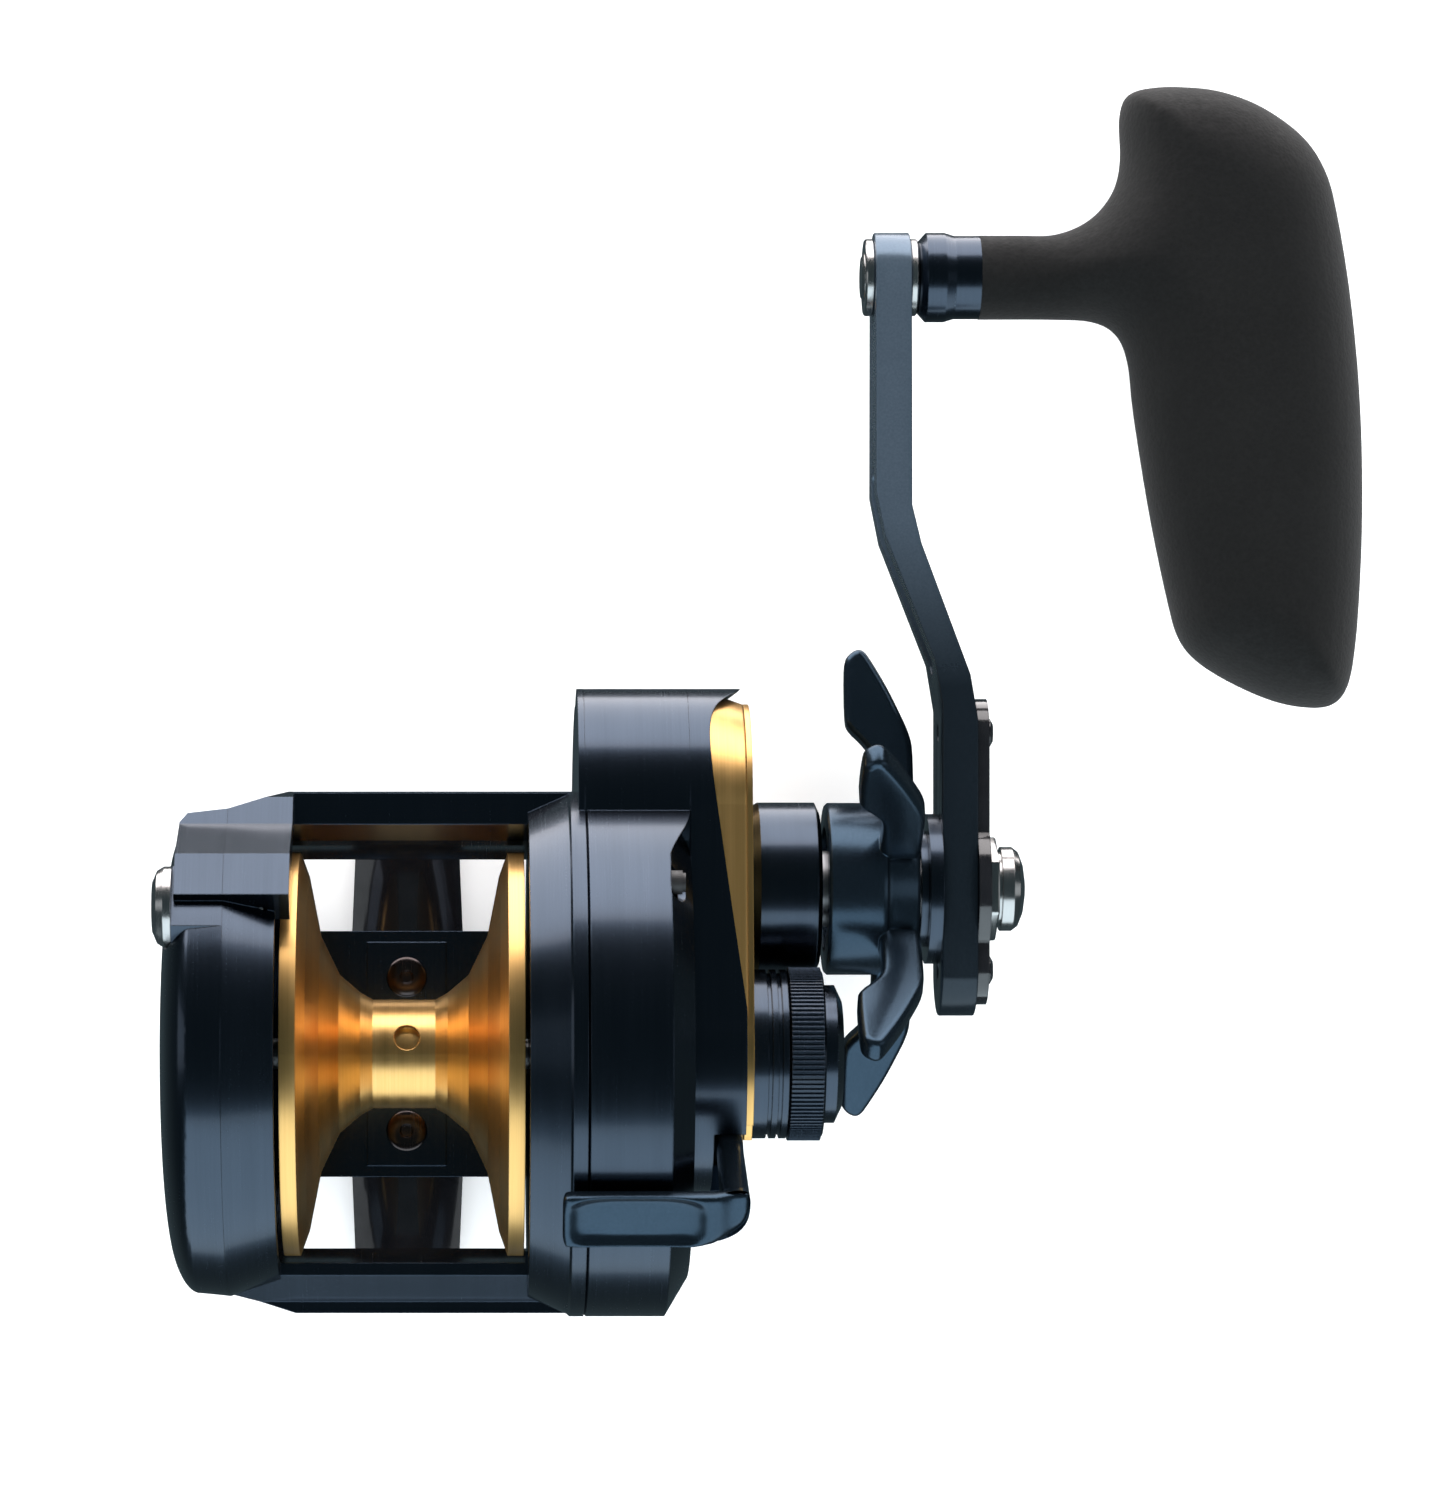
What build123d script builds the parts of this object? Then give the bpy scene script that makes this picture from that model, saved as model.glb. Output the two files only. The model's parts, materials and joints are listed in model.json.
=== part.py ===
from build123d import *
import os
from math import acos, atan2, cos, degrees, hypot, pi, radians, sin, sqrt, tan

os.makedirs("parts", exist_ok=True)

# A star-drag casting reel with a power handle, in millimetres.
# +X runs along the spool axis to the handle side, +Y to the rod tip and +Z away from the rod.
# The origin is on the axis of the rod seat, under the middle of the foot.

# ---------------------------------------------------------------- driving dimensions
SADDLE_R = 9.0              # radius of the rod seat that the foot sits on
FOOT_LENGTH = 66.0
FOOT_WIDTH = 15.6
FOOT_TIP_WIDTH = 14.0
FOOT_THICKNESS = 2.2
PEDESTAL_HEIGHT = 3.0       # block between the curved foot and the frame
PEDESTAL_LENGTH = 30.0

SPOOL_R = 26.0              # flange radius
SPOOL_HALF = 15.35          # half the width over the flanges
ARBOR_R = 7.0
ARBOR_HALF = 4.0
FLANGE_RIM = 2.05           # width of the plain rim of a flange
SHAFT_R = 2.0               # spool shaft

SIDE_GAP = 0.55             # spool flange to side wall
BORE_GAP = 0.9              # spool flange to the frame around it
BAR_DEPTH = 6.9             # radial depth of the frame's cross bars
BED_GAP = 1.4
BED_THICKNESS = 3.4
BED_HALF = 16.5             # half the length of the bed, front to rear
LEFT_WALL = 6.4
RIGHT_WALL = 7.1
FLANGE = 0.8                # thickness of the frame's flange that closes the gear case

CASE_WALL = 2.4
CASE_DEPTH = 10.4           # gear case, around the spool axis
LOBE_DEPTH = 2.9            # extra depth of the case around its front lobe
CASE_BEVEL = 4.9            # how far the case's outer end slopes in toward the cover
COVER_R = 17.8              # cover's round about the spool axis
COVER_DEPTH = 7.0           # handle-side cover, outward from the lobe's rim
TRIM_THICKNESS = 1.0

HANDLE_FORWARD = 21.6       # drive shaft, forward of the spool axis
HANDLE_DROP = 10.0          # drive shaft, below the spool axis
DRIVE_TEETH = 60
PINION_TEETH = 12
DRIVE_SHAFT_R = 4.0
COLLAR_R = 11.3
COLLAR_LENGTH = 8.0
STAR_R = 32.2
STAR_ARMS = 5
STAR_FIN = 3.6               # thickness of a star arm

ARM_LENGTH = 80.0           # drive shaft to knob, centre to centre
ARM_THICKNESS = 4.65
ARM_CRANK = 8.5             # how far the arm steps back toward the reel
ARM_TAIL = 16.6
ARM_WIDTH = 14.0
KNOB_POST_R = 2.5
GRIP_DEPTH = 22.0
GRIP_EDGE = 8.0             # rounding of the grip's long edges

BOSS_R = 10.9               # cast-control boss
BOSS_LENGTH = 4.75
TENSION_R = 11.2            # cast-control knob
TENSION_LENGTH = 4.7

FIT = 0.03                  # running and locating clearance on a radius
FREE = 0.3                  # clearance between parts that must not touch

# ---------------------------------------------------------------- places that follow
BORE_R = SPOOL_R + BORE_GAP
FRAME_R = BORE_R + BAR_DEPTH
FOOT_TOP = SADDLE_R + FOOT_THICKNESS
BED_UNDER = FOOT_TOP + PEDESTAL_HEIGHT
BED_TOP = BED_UNDER + BED_THICKNESS
AXIS_Z = BED_TOP + BED_GAP + SPOOL_R

SPOOL_AXIS = (0.0, AXIS_Z)
DRIVE_AXIS = (HANDLE_FORWARD, AXIS_Z - HANDLE_DROP)
KNOB_AXIS = (HANDLE_FORWARD + ARM_LENGTH, AXIS_Z - HANDLE_DROP)

WALL_FACE = SPOOL_HALF + SIDE_GAP
FRAME_LEFT = -WALL_FACE - LEFT_WALL
FRAME_RIGHT = WALL_FACE + RIGHT_WALL
CASE_RIM = FRAME_RIGHT + CASE_DEPTH
LOBE_RIM = CASE_RIM + LOBE_DEPTH
COVER_FACE = LOBE_RIM + COVER_DEPTH
TRIM_FACE = COVER_FACE + TRIM_THICKNESS

# Gears: a stub-tooth pair on the distance between the two axes.
CENTRES = hypot(HANDLE_FORWARD, HANDLE_DROP)
MODULE = 2 * CENTRES / (DRIVE_TEETH + PINION_TEETH)
ADDENDUM = 0.8 * MODULE
DEDENDUM = 1.05 * MODULE
DRIVE_GEAR_R = MODULE * DRIVE_TEETH / 2 + ADDENDUM
PINION_R = MODULE * PINION_TEETH / 2 + ADDENDUM
PINION_ROOT_R = MODULE * PINION_TEETH / 2 - DEDENDUM
TO_DRIVE = degrees(atan2(-HANDLE_DROP, HANDLE_FORWARD))   # from the spool axis to the drive shaft

# Stations along X inside the gear case.
DOG_LEFT = FRAME_RIGHT + 1.4
DOG_RIGHT = DOG_LEFT + 2.2
YOKE_THICKNESS = 1.4
YOKE_LEFT = DOG_RIGHT + 0.15
GROOVE_RIGHT = YOKE_LEFT + YOKE_THICKNESS + 0.15
CLUTCH_TRAVEL = 1.6
PINION_TEETH_LEFT = GROOVE_RIGHT + 0.5
GEAR_LEFT = PINION_TEETH_LEFT + CLUTCH_TRAVEL
GEAR_FACE = 3.4
GEAR_RIGHT = GEAR_LEFT + GEAR_FACE
PINION_TEETH_RIGHT = GEAR_RIGHT + 1.3
RATCHET_LEFT = FRAME_RIGHT + 1.6
RATCHET_THICKNESS = 1.6

# Stations along X outside the cover, on the drive shaft.
COLLAR_LEFT = TRIM_FACE + 1.7
COLLAR_RIGHT = COLLAR_LEFT + COLLAR_LENGTH
STAR_LEFT = COLLAR_RIGHT + 0.8
SKIRT_RIGHT = STAR_LEFT + 7.6
STAR_RIGHT = SKIRT_RIGHT + 4.3
SPACER_LEFT = STAR_RIGHT + 1.3
ARM_HUB_LEFT = SPACER_LEFT + 1.7
ARM_HUB_RIGHT = ARM_HUB_LEFT + ARM_THICKNESS
PLATE_THICKNESS = 1.6
NUT_THICKNESS = 2.9
NUT_RIGHT = ARM_HUB_RIGHT + NUT_THICKNESS
ARM_TIP_LEFT = ARM_HUB_LEFT - ARM_CRANK
ARM_TIP_RIGHT = ARM_TIP_LEFT + ARM_THICKNESS
SLEEVE_LEFT = ARM_TIP_RIGHT + 1.1
SLEEVE_LENGTH = 8.1
GRIP_LEFT = SLEEVE_LEFT + SLEEVE_LENGTH

# Cast-control stations on the spool axis.
BOSS_RIGHT = TRIM_FACE + BOSS_LENGTH
TENSION_RIGHT = BOSS_RIGHT + TENSION_LENGTH
CAP_RIGHT = TENSION_RIGHT + 2.5


# ---------------------------------------------------------------- shared helpers
def side(x, centre=SPOOL_AXIS):
    """Plane square to the spool axis at x: local x is forward, local y is up."""
    return Plane(origin=(x, centre[0], centre[1]), x_dir=(0, 1, 0), z_dir=(1, 0, 0))


def turned(outline, centre=SPOOL_AXIS, mode=Mode.ADD):
    """Turn a closed outline of (x, radius) points about a line along X."""
    plane = Plane(origin=(0, centre[0], centre[1]), x_dir=(1, 0, 0), z_dir=(0, -1, 0))
    with BuildSketch(plane) as section:
        with BuildLine():
            Polyline(*outline, close=True)
        make_face()
    revolve(section.sketch, axis=Axis(plane.origin, (1, 0, 0)), mode=mode)


def tube(left, right, inner, outer, centre=SPOOL_AXIS, mode=Mode.ADD):
    """A plain ring, or a rod where the inner radius is 0."""
    turned([(left, inner), (right, inner), (right, outer), (left, outer)], centre, mode)


def plate(left, right, sketch_points, centre=SPOOL_AXIS, mode=Mode.ADD):
    """A flat piece square to X, from a closed outline of (forward, up) points."""
    with BuildSketch(side(left, centre)) as section:
        with BuildLine():
            Polyline(*sketch_points, close=True)
        make_face()
    extrude(section.sketch, amount=right - left, mode=mode)


def polar(radius, angle):
    """(forward, up) of a point at an angle from forward toward up."""
    return (radius * cos(radians(angle)), radius * sin(radians(angle)))


def moved(centre, radius, angle):
    """A (forward, height) centre moved out by a radius at an angle."""
    step = polar(radius, angle)
    return (centre[0] + step[0], centre[1] + step[1])


def sector(inner, outer, start, end, steps=8):
    """Closed outline of a ring sector between two angles."""
    turn = [start + (end - start) * i / steps for i in range(steps + 1)]
    return [polar(outer, a) for a in turn] + [polar(inner, a) for a in reversed(turn)]


def gear_outline(teeth, first, backlash=0.06, pressure=25.0):
    """Outline of a stub-tooth spur gear, with the middle of one tooth at the angle first."""
    pitch_r = MODULE * teeth / 2
    base_r = pitch_r * cos(radians(pressure))
    root_r = pitch_r - DEDENDUM
    tip_r = pitch_r + ADDENDUM
    roll = tan(radians(pressure)) - radians(pressure)
    half = pi / (2 * teeth) - backlash / pitch_r
    flank = []
    for i in range(4):
        r = max(base_r, root_r) + (tip_r - max(base_r, root_r)) * i / 3
        lean = acos(min(1.0, base_r / r))
        flank.append((r, degrees(half + roll - (tan(lean) - lean))))
    if root_r < base_r:
        flank.insert(0, (root_r, flank[0][1]))
    outline = []
    for tooth in range(teeth):
        middle = first + 360 * tooth / teeth
        outline += [polar(r, middle - a) for r, a in flank]
        outline += [polar(r, middle + a) for r, a in reversed(flank)]
    return outline


def bearing(left, right, bore, outer, centre=SPOOL_AXIS):
    """A shielded ball bearing as one ring, with the shields set in a little."""
    step = (outer - bore) / 4
    turned([(left, bore), (right, bore), (right, bore + step), (right - 0.2, bore + step),
            (right - 0.2, outer - step), (right, outer - step), (right, outer), (left, outer),
            (left, outer - step), (left + 0.2, outer - step), (left + 0.2, bore + step),
            (left, bore + step)], centre)


def save(builder, name):
    """Label a finished piece and write it."""
    builder.part.label = name
    export_step(builder.part, f"parts/{name}.step")


def case_sketch(x, grow=0.0):
    """Side outline of the gear case: the main round, the front lobe and the drive-gear round."""
    with BuildSketch(side(x)) as outline:
        Circle(FRAME_R + grow)
        with Locations((HANDLE_FORWARD, -HANDLE_DROP)):
            Circle(DRIVE_CASE_R + grow)
        with Locations(LOBE_CENTRE):
            Circle(LOBE_R + grow)
    return outline.sketch


def cover_sketch(x, grow=0.0):
    """Side outline of the cover: a smaller round about the spool axis and a level top."""
    with BuildSketch(side(x)) as outline:
        Circle(COVER_R + grow)
        with Locations((HANDLE_FORWARD, -HANDLE_DROP)):
            Circle(DRIVE_CASE_R + grow)
        with Locations(LOBE_CENTRE):
            Circle(LOBE_R + grow)
        with BuildLine():
            Polyline((0, 0), (0, COVER_R + grow), (LOBE_CENTRE[0], LOBE_CENTRE[1] + LOBE_R + grow),
                     (LOBE_CENTRE[0], LOBE_CENTRE[1]), close=True)
        make_face()
        with BuildLine():
            Polyline((0, 0), (0, -COVER_R - grow), (HANDLE_FORWARD, -HANDLE_DROP - DRIVE_CASE_R - grow),
                     (HANDLE_FORWARD, 0), close=True)
        make_face()
    return outline.sketch


def upright(plan):
    """Make a flat plan outline a block over the full height."""
    return extrude(plan.sketch, amount=FAR, mode=Mode.PRIVATE)


def behind_rim():
    """What lies inboard of the line where the gear case meets the cover."""
    with BuildSketch(Plane.XY.offset(AXIS_Z - FAR / 2)) as region:
        with BuildLine():
            lobe = Line((LOBE_RIM, FAR), (LOBE_RIM, RIM_TURN + 3.0))
            bend = Spline(lobe @ 1, (LOBE_RIM - 0.9, RIM_TURN), (CASE_RIM, RIM_TURN - 3.6),
                          tangents=[(0, -1), (-0.35, -1)])
            Polyline(bend @ 1, (CASE_RIM, -FAR), (FRAME_RIGHT - 5, -FAR), (FRAME_RIGHT - 5, FAR), lobe @ 0)
        make_face()
    return upright(region)


# ---------------------------------------------------------------- gear-case outline
DRIVE_CASE_R = DRIVE_GEAR_R + 1.2 + CASE_WALL
LOBE_CENTRE = (HANDLE_FORWARD + 10.0, -HANDLE_DROP + 8.5)
LOBE_R = FRAME_R * 0.46
RIM_TURN = FRAME_R - 5.3    # where the rim turns out to the lobe's extra depth
FAR = 4 * FRAME_R
PIN_REACH = 11.5            # clutch guide pins, from the spool axis
PIN_R = 1.1
PIN_ANGLES = (TO_DRIVE + 90, TO_DRIVE - 90)
# Cover screws: (forward, up), inner end and head seat. The lobe's screw ends in the case, under the trim.
LOBE_SCREW = (LOBE_CENTRE[0] + 0.52 * LOBE_R, LOBE_CENTRE[1] + 0.55 * LOBE_R)
SCREWS = [(LOBE_SCREW, FRAME_RIGHT + 0.4, LOBE_RIM + 0.8)]
SCREWS += [(polar(FRAME_R - 8.3, angle), FRAME_RIGHT - 3.5, LOBE_RIM - 1.5) for angle in (92, 200, 258)]
SCREW_R = 1.25
BUTTON_PLACE = (FRAME_R - 12.5, AXIS_Z + 25.2)
PAWL_PIN = moved(DRIVE_AXIS, 14.6, 100)
PAWL_ANGLE = 237.0

# The take-down lug stands on the front shoulder of the left side.
LUG = [(FRAME_R - 17.0, 21.5), (FRAME_R - 15.3, 24.0), (FRAME_R - 14.0, 25.8), (FRAME_R - 8.8, 22.0),
       (FRAME_R - 4.6, 11.5), (FRAME_R - 1.1, 9.0), (FRAME_R - 0.2, 5.0), (FRAME_R - 4.5, 4.0),
       (FRAME_R - 8.0, 12.0), (FRAME_R - 14.5, 19.5)]
LUG_SCREW = (FRAME_R - 15.5, AXIS_Z + 22.0)
COIN_SCREW_R = 5.1
COIN_SHANK_R = 1.5
COVER_TIP = FRAME_LEFT - 8.8
COIN_SEAT = COVER_TIP + 2.4     # inner face of the coin screw's head


def lug(left, right):
    """The take-down lug between two planes, rounded off in plan toward its outer end."""
    with BuildSketch() as plan:
        with BuildLine():
            Polyline((0, 0), (COVER_TIP, 0), (COVER_TIP + 1.4, FRAME_R - 7.7),
                     (COVER_TIP + 2.2, FRAME_R - 5.0), (COVER_TIP + 3.7, FRAME_R - 3.2),
                     (FRAME_LEFT, FRAME_R - 2.6), (FRAME_LEFT + 8.2, FRAME_R), (0, FRAME_R), close=True)
        make_face()
    with BuildPart(mode=Mode.PRIVATE) as block:
        plate(left, right, LUG)
        add(upright(plan), mode=Mode.INTERSECT)
    return block.part


# ---------------------------------------------------------------- main frame
with BuildPart() as main_frame:
    # The three cross bars run the whole width, then are trimmed to the turned outside.
    front_bar = [(FRAME_R + 1, 5.0), (FRAME_R - 4.4, 5.0), (BORE_R + 0.5, 2.6), (BORE_R - 1.5, -9.0),
                 (FRAME_R - 2.5, -16.5), (FRAME_R + 1, -15.0)]
    rear_bar = [(1.5 - BORE_R, 1.6), (5.3 - FRAME_R, 1.6), (1.7 - FRAME_R, -3.6), (-FRAME_R - 1, -3.6),
                (-FRAME_R - 1, -12.0), (3.5 - FRAME_R, -15.5), (1.5 - BORE_R, -9.0)]
    bed_top = BED_TOP - AXIS_Z
    bed_under = BED_UNDER - AXIS_Z
    bed = [(-BED_HALF, bed_top), (BED_HALF, bed_top), (BED_HALF, bed_under), (-BED_HALF, bed_under)]
    for section in (front_bar, rear_bar, bed):
        plate(FRAME_LEFT, FRAME_RIGHT, section)
    plate(FRAME_LEFT, -SPOOL_HALF + 1.3, LUG)
    tube(FRAME_LEFT, SPOOL_HALF + 0.2, 0, BORE_R, mode=Mode.SUBTRACT)
    turned([(FRAME_LEFT, 0), (FRAME_LEFT, FRAME_R - 2.6), (FRAME_LEFT + 8.2, FRAME_R),
            (FRAME_RIGHT, FRAME_R), (FRAME_RIGHT, 0)], mode=Mode.INTERSECT)
    # The lug stands proud of that envelope at its top.
    add(lug(FRAME_LEFT, -SPOOL_HALF + 1.3))
    # Left ring, open so that the spool comes out through it.
    turned([(FRAME_LEFT, BORE_R), (FRAME_LEFT, FRAME_R - 2.6), (-WALL_FACE, FRAME_R - 4.8),
            (-WALL_FACE, BORE_R)])
    # Right wall with its bearing seat, and the thin flange that carries the gear case.
    turned([(WALL_FACE, 4.4), (WALL_FACE, FRAME_R - 2.5), (WALL_FACE + 5.0, FRAME_R - 0.3),
            (WALL_FACE + 5.3, FRAME_R), (FRAME_RIGHT, FRAME_R), (FRAME_RIGHT, 5.5),
            (WALL_FACE + 2.2, 5.5), (WALL_FACE + 2.2, 4.4)])
    extrude(case_sketch(FRAME_RIGHT - FLANGE), amount=FLANGE)
    tube(FRAME_RIGHT - FLANGE, FRAME_RIGHT, 0, 5.5, mode=Mode.SUBTRACT)
    tube(FRAME_RIGHT - 3.6, FRAME_RIGHT, 0, 5.5, centre=DRIVE_AXIS, mode=Mode.SUBTRACT)
    for angle in PIN_ANGLES:
        tube(FRAME_RIGHT - 3, FRAME_RIGHT, 0, PIN_R, moved(SPOOL_AXIS, PIN_REACH, angle), Mode.SUBTRACT)
    tube(FRAME_RIGHT - 3, FRAME_RIGHT, 0, PIN_R, PAWL_PIN, Mode.SUBTRACT)
    for (y, z), inner_end, _ in SCREWS:
        tube(inner_end - 0.5, FRAME_RIGHT + 1, 0, SCREW_R, (y, AXIS_Z + z), Mode.SUBTRACT)
    tube(FRAME_LEFT, -SPOOL_HALF - 1.5, 0, COIN_SHANK_R, LUG_SCREW, Mode.SUBTRACT)
    # Raised middle of the bed, and the two fixing holes down to the foot.
    with BuildSketch(Plane.XY.offset(BED_TOP)):
        Rectangle(FOOT_WIDTH - 5.0, 2 * BED_HALF - 3.0)
    extrude(amount=0.4)
    with BuildSketch(Plane.XY.offset(BED_UNDER)):
        with Locations((0, 10.3), (0, -10.3)):
            Circle(1.5)
    extrude(amount=BED_THICKNESS + 0.4, mode=Mode.SUBTRACT)
save(main_frame, "main_frame")

# ---------------------------------------------------------------- foot
with BuildPart() as reel_foot:
    # Curved blade: a slice of a tube about the rod seat, narrowed toward both tips.
    with BuildSketch(Plane.XZ.offset(-FOOT_LENGTH / 2)):
        Circle(FOOT_TOP)
        Circle(SADDLE_R, mode=Mode.SUBTRACT)
        with Locations((0, FOOT_TOP)):
            Rectangle(FOOT_WIDTH, 2 * (FOOT_TOP - sqrt(SADDLE_R ** 2 - (FOOT_WIDTH / 2) ** 2)),
                      mode=Mode.INTERSECT)
    extrude(amount=FOOT_LENGTH)
    half = FOOT_LENGTH / 2
    with BuildSketch(Plane.XY):
        with BuildLine():
            Polyline((-FOOT_WIDTH / 2, -10), (-FOOT_WIDTH / 2, 10), (-FOOT_TIP_WIDTH / 2, half - 4),
                     (3 - FOOT_TIP_WIDTH / 2, half), (FOOT_TIP_WIDTH / 2 - 3, half),
                     (FOOT_TIP_WIDTH / 2, half - 4), (FOOT_WIDTH / 2, 10), (FOOT_WIDTH / 2, -10),
                     (FOOT_TIP_WIDTH / 2, 4 - half), (FOOT_TIP_WIDTH / 2 - 3, -half),
                     (3 - FOOT_TIP_WIDTH / 2, -half), (-FOOT_TIP_WIDTH / 2, 4 - half), close=True)
        make_face()
    extrude(amount=FOOT_TOP + 1, mode=Mode.INTERSECT)
    with BuildSketch(Plane.XY.offset(SADDLE_R + 0.4)):
        RectangleRounded(FOOT_WIDTH - 5.0, PEDESTAL_LENGTH, 2.0)
    extrude(amount=BED_UNDER - SADDLE_R - 0.4)
    with BuildSketch(Plane.XY.offset(SADDLE_R + 1.4)):
        with Locations((0, 10.3), (0, -10.3)):
            Circle(1.5)
    extrude(amount=BED_UNDER, mode=Mode.SUBTRACT)
save(reel_foot, "reel_foot")

with BuildPart() as foot_screws:
    with BuildSketch(Plane.XY.offset(SADDLE_R + 1.5)):
        with Locations((0, 10.3), (0, -10.3)):
            Circle(1.5 - FIT)
    extrude(amount=BED_TOP + 0.4 - SADDLE_R - 1.5)
    with BuildSketch(Plane.XY.offset(BED_TOP + 0.4)):
        with Locations((0, 10.3), (0, -10.3)):
            Circle(2.75)
    extrude(amount=0.7, taper=25)
save(foot_screws, "foot_screws")

# ---------------------------------------------------------------- left side
SPIGOT_R = BORE_R - 0.2
with BuildPart() as left_side_cover:
    plane = Plane(origin=(0, 0, AXIS_Z), x_dir=(1, 0, 0), z_dir=(0, -1, 0))
    with BuildSketch(plane) as dome:
        with BuildLine():
            Spline((COVER_TIP, 0), (COVER_TIP + 0.45, FRAME_R - 18.0), (COVER_TIP + 1.3, FRAME_R - 9.2),
                   (COVER_TIP + 2.4, FRAME_R - 5.4), (COVER_TIP + 4.6, FRAME_R - 3.0),
                   tangents=[(0, 1), (1, 0.25)])
            Polyline((COVER_TIP + 4.6, FRAME_R - 3.0), (FRAME_LEFT, FRAME_R - 2.6),
                     (FRAME_LEFT, SPIGOT_R), (FRAME_LEFT + 1.8, SPIGOT_R),
                     (FRAME_LEFT + 1.8, SPIGOT_R - 2), (FRAME_LEFT - 4.8, SPIGOT_R - 2),
                     (COVER_TIP + 2.6, SPIGOT_R - 5), (COVER_TIP + 2.1, 8), (FRAME_LEFT + 0.7, 8),
                     (FRAME_LEFT + 0.7, 5), (FRAME_LEFT - 2.3, 5), (FRAME_LEFT - 2.3, 3),
                     (COVER_TIP + 3.1, 3), (COVER_TIP + 3.1, 0), (COVER_TIP, 0))
        make_face()
    revolve(dome.sketch, axis=Axis(plane.origin, (1, 0, 0)))
    # Lug and screw boss, clear of the inside of the shell.
    tube(COIN_SEAT, FRAME_LEFT, 0, COIN_SCREW_R + 0.3, LUG_SCREW)
    tube(COVER_TIP, FRAME_LEFT, FRAME_R - 2.6, FRAME_R + 9, mode=Mode.SUBTRACT)
    add(lug(FRAME_LEFT - 6.1, FRAME_LEFT))
    tube(COVER_TIP - 1, COIN_SEAT, 0, COIN_SCREW_R + 0.15, LUG_SCREW, Mode.SUBTRACT)
    tube(COVER_TIP + 1, FRAME_LEFT + 2, 0, COIN_SHANK_R + FIT, LUG_SCREW, Mode.SUBTRACT)
    tube(FRAME_LEFT, FRAME_LEFT + 3, SPIGOT_R, FRAME_R + 4, mode=Mode.SUBTRACT)
save(left_side_cover, "left_side_cover")

with BuildPart() as side_cover_screw:
    head_left = COIN_SEAT - 2.55
    turned([(head_left, 0), (head_left + 0.1, COIN_SCREW_R - 1.9), (head_left + 0.7, COIN_SCREW_R - 0.5),
            (head_left + 1.6, COIN_SCREW_R), (COIN_SEAT, COIN_SCREW_R),
            (COIN_SEAT, COIN_SHANK_R - FIT), (-SPOOL_HALF - 2, COIN_SHANK_R - FIT),
            (-SPOOL_HALF - 2, 0)], LUG_SCREW)
    plate(head_left - 1, head_left + 1.0, [(-9, -0.7), (9, -0.7), (9, 0.7), (-9, 0.7)],
          LUG_SCREW, Mode.SUBTRACT)
save(side_cover_screw, "side_cover_screw")

# ---------------------------------------------------------------- spool and what turns with it
with BuildPart() as spool:
    half_section = [(SHAFT_R, 0), (SHAFT_R, SPOOL_HALF - 5), (9.0, SPOOL_HALF - 5),
                    (11.0, SPOOL_HALF - 2.6), (SPOOL_R - 4, SPOOL_HALF - 0.9), (SPOOL_R - 2, SPOOL_HALF),
                    (SPOOL_R, SPOOL_HALF), (SPOOL_R, SPOOL_HALF - FLANGE_RIM),
                    (SPOOL_R - 3.1, SPOOL_HALF - 3.15), (SPOOL_R - 10.8, SPOOL_HALF - 4.65),
                    (ARBOR_R + 3.2, ARBOR_HALF + 4.3), (ARBOR_R + 0.9, ARBOR_HALF + 1.6),
                    (ARBOR_R, ARBOR_HALF), (ARBOR_R, 0)]
    right_half = [(x, r) for r, x in half_section]
    left_half = [(-x, r) for x, r in reversed(right_half)]
    turned(right_half[:-1] + left_half[1:])
    # Hole that holds the end of the line.
    with BuildSketch(Plane(origin=(0.4, 0, AXIS_Z), z_dir=(0, sin(radians(18)), cos(radians(18))))):
        Circle(1.65)
    extrude(amount=SPOOL_R, mode=Mode.SUBTRACT)
    tube(-SPOOL_HALF, SPOOL_HALF, 0, ARBOR_R - 1.2, mode=Mode.SUBTRACT)
    tube(-ARBOR_HALF - 5, ARBOR_HALF + 5, SHAFT_R, ARBOR_R - 1.0)
save(spool, "spool")

with BuildPart() as spool_shaft:
    tube(FRAME_LEFT - 2.2, BOSS_RIGHT - 1.5, 0, SHAFT_R - FIT)
    # Drive pin across the shaft, which the pinion's slot takes hold of.
    toward_drive = (0, cos(radians(TO_DRIVE)), sin(radians(TO_DRIVE)))
    with BuildSketch(Plane(origin=(DOG_LEFT + 0.4, 0, AXIS_Z), z_dir=toward_drive)):
        Circle(0.7)
    extrude(amount=3.8, both=True)
save(spool_shaft, "spool_shaft")

BRAKE_LEFT = FRAME_LEFT + 2.2
with BuildPart() as brake_hub:
    tube(BRAKE_LEFT, BRAKE_LEFT + 2.6, SHAFT_R, 6.0)
    for angle in (30, 210):
        tube(BRAKE_LEFT + 0.6, BRAKE_LEFT + 2.0, 0, 1.0, moved(SPOOL_AXIS, 6.5, angle))
save(brake_hub, "brake_hub")

with BuildPart() as brake_weights:
    for angle in (120, 300):
        plate(BRAKE_LEFT + 0.4, BRAKE_LEFT + 2.2, sector(6.2, 8.4, angle - 22, angle + 22))
save(brake_weights, "brake_weights")

with BuildPart() as brake_ring:
    tube(FRAME_LEFT + 0.9, BRAKE_LEFT + 2.6, 9.2, 10.4)
    tube(FRAME_LEFT + 0.7, FRAME_LEFT + 1.3, 6.0, 10.4)
save(brake_ring, "brake_ring")

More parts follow.
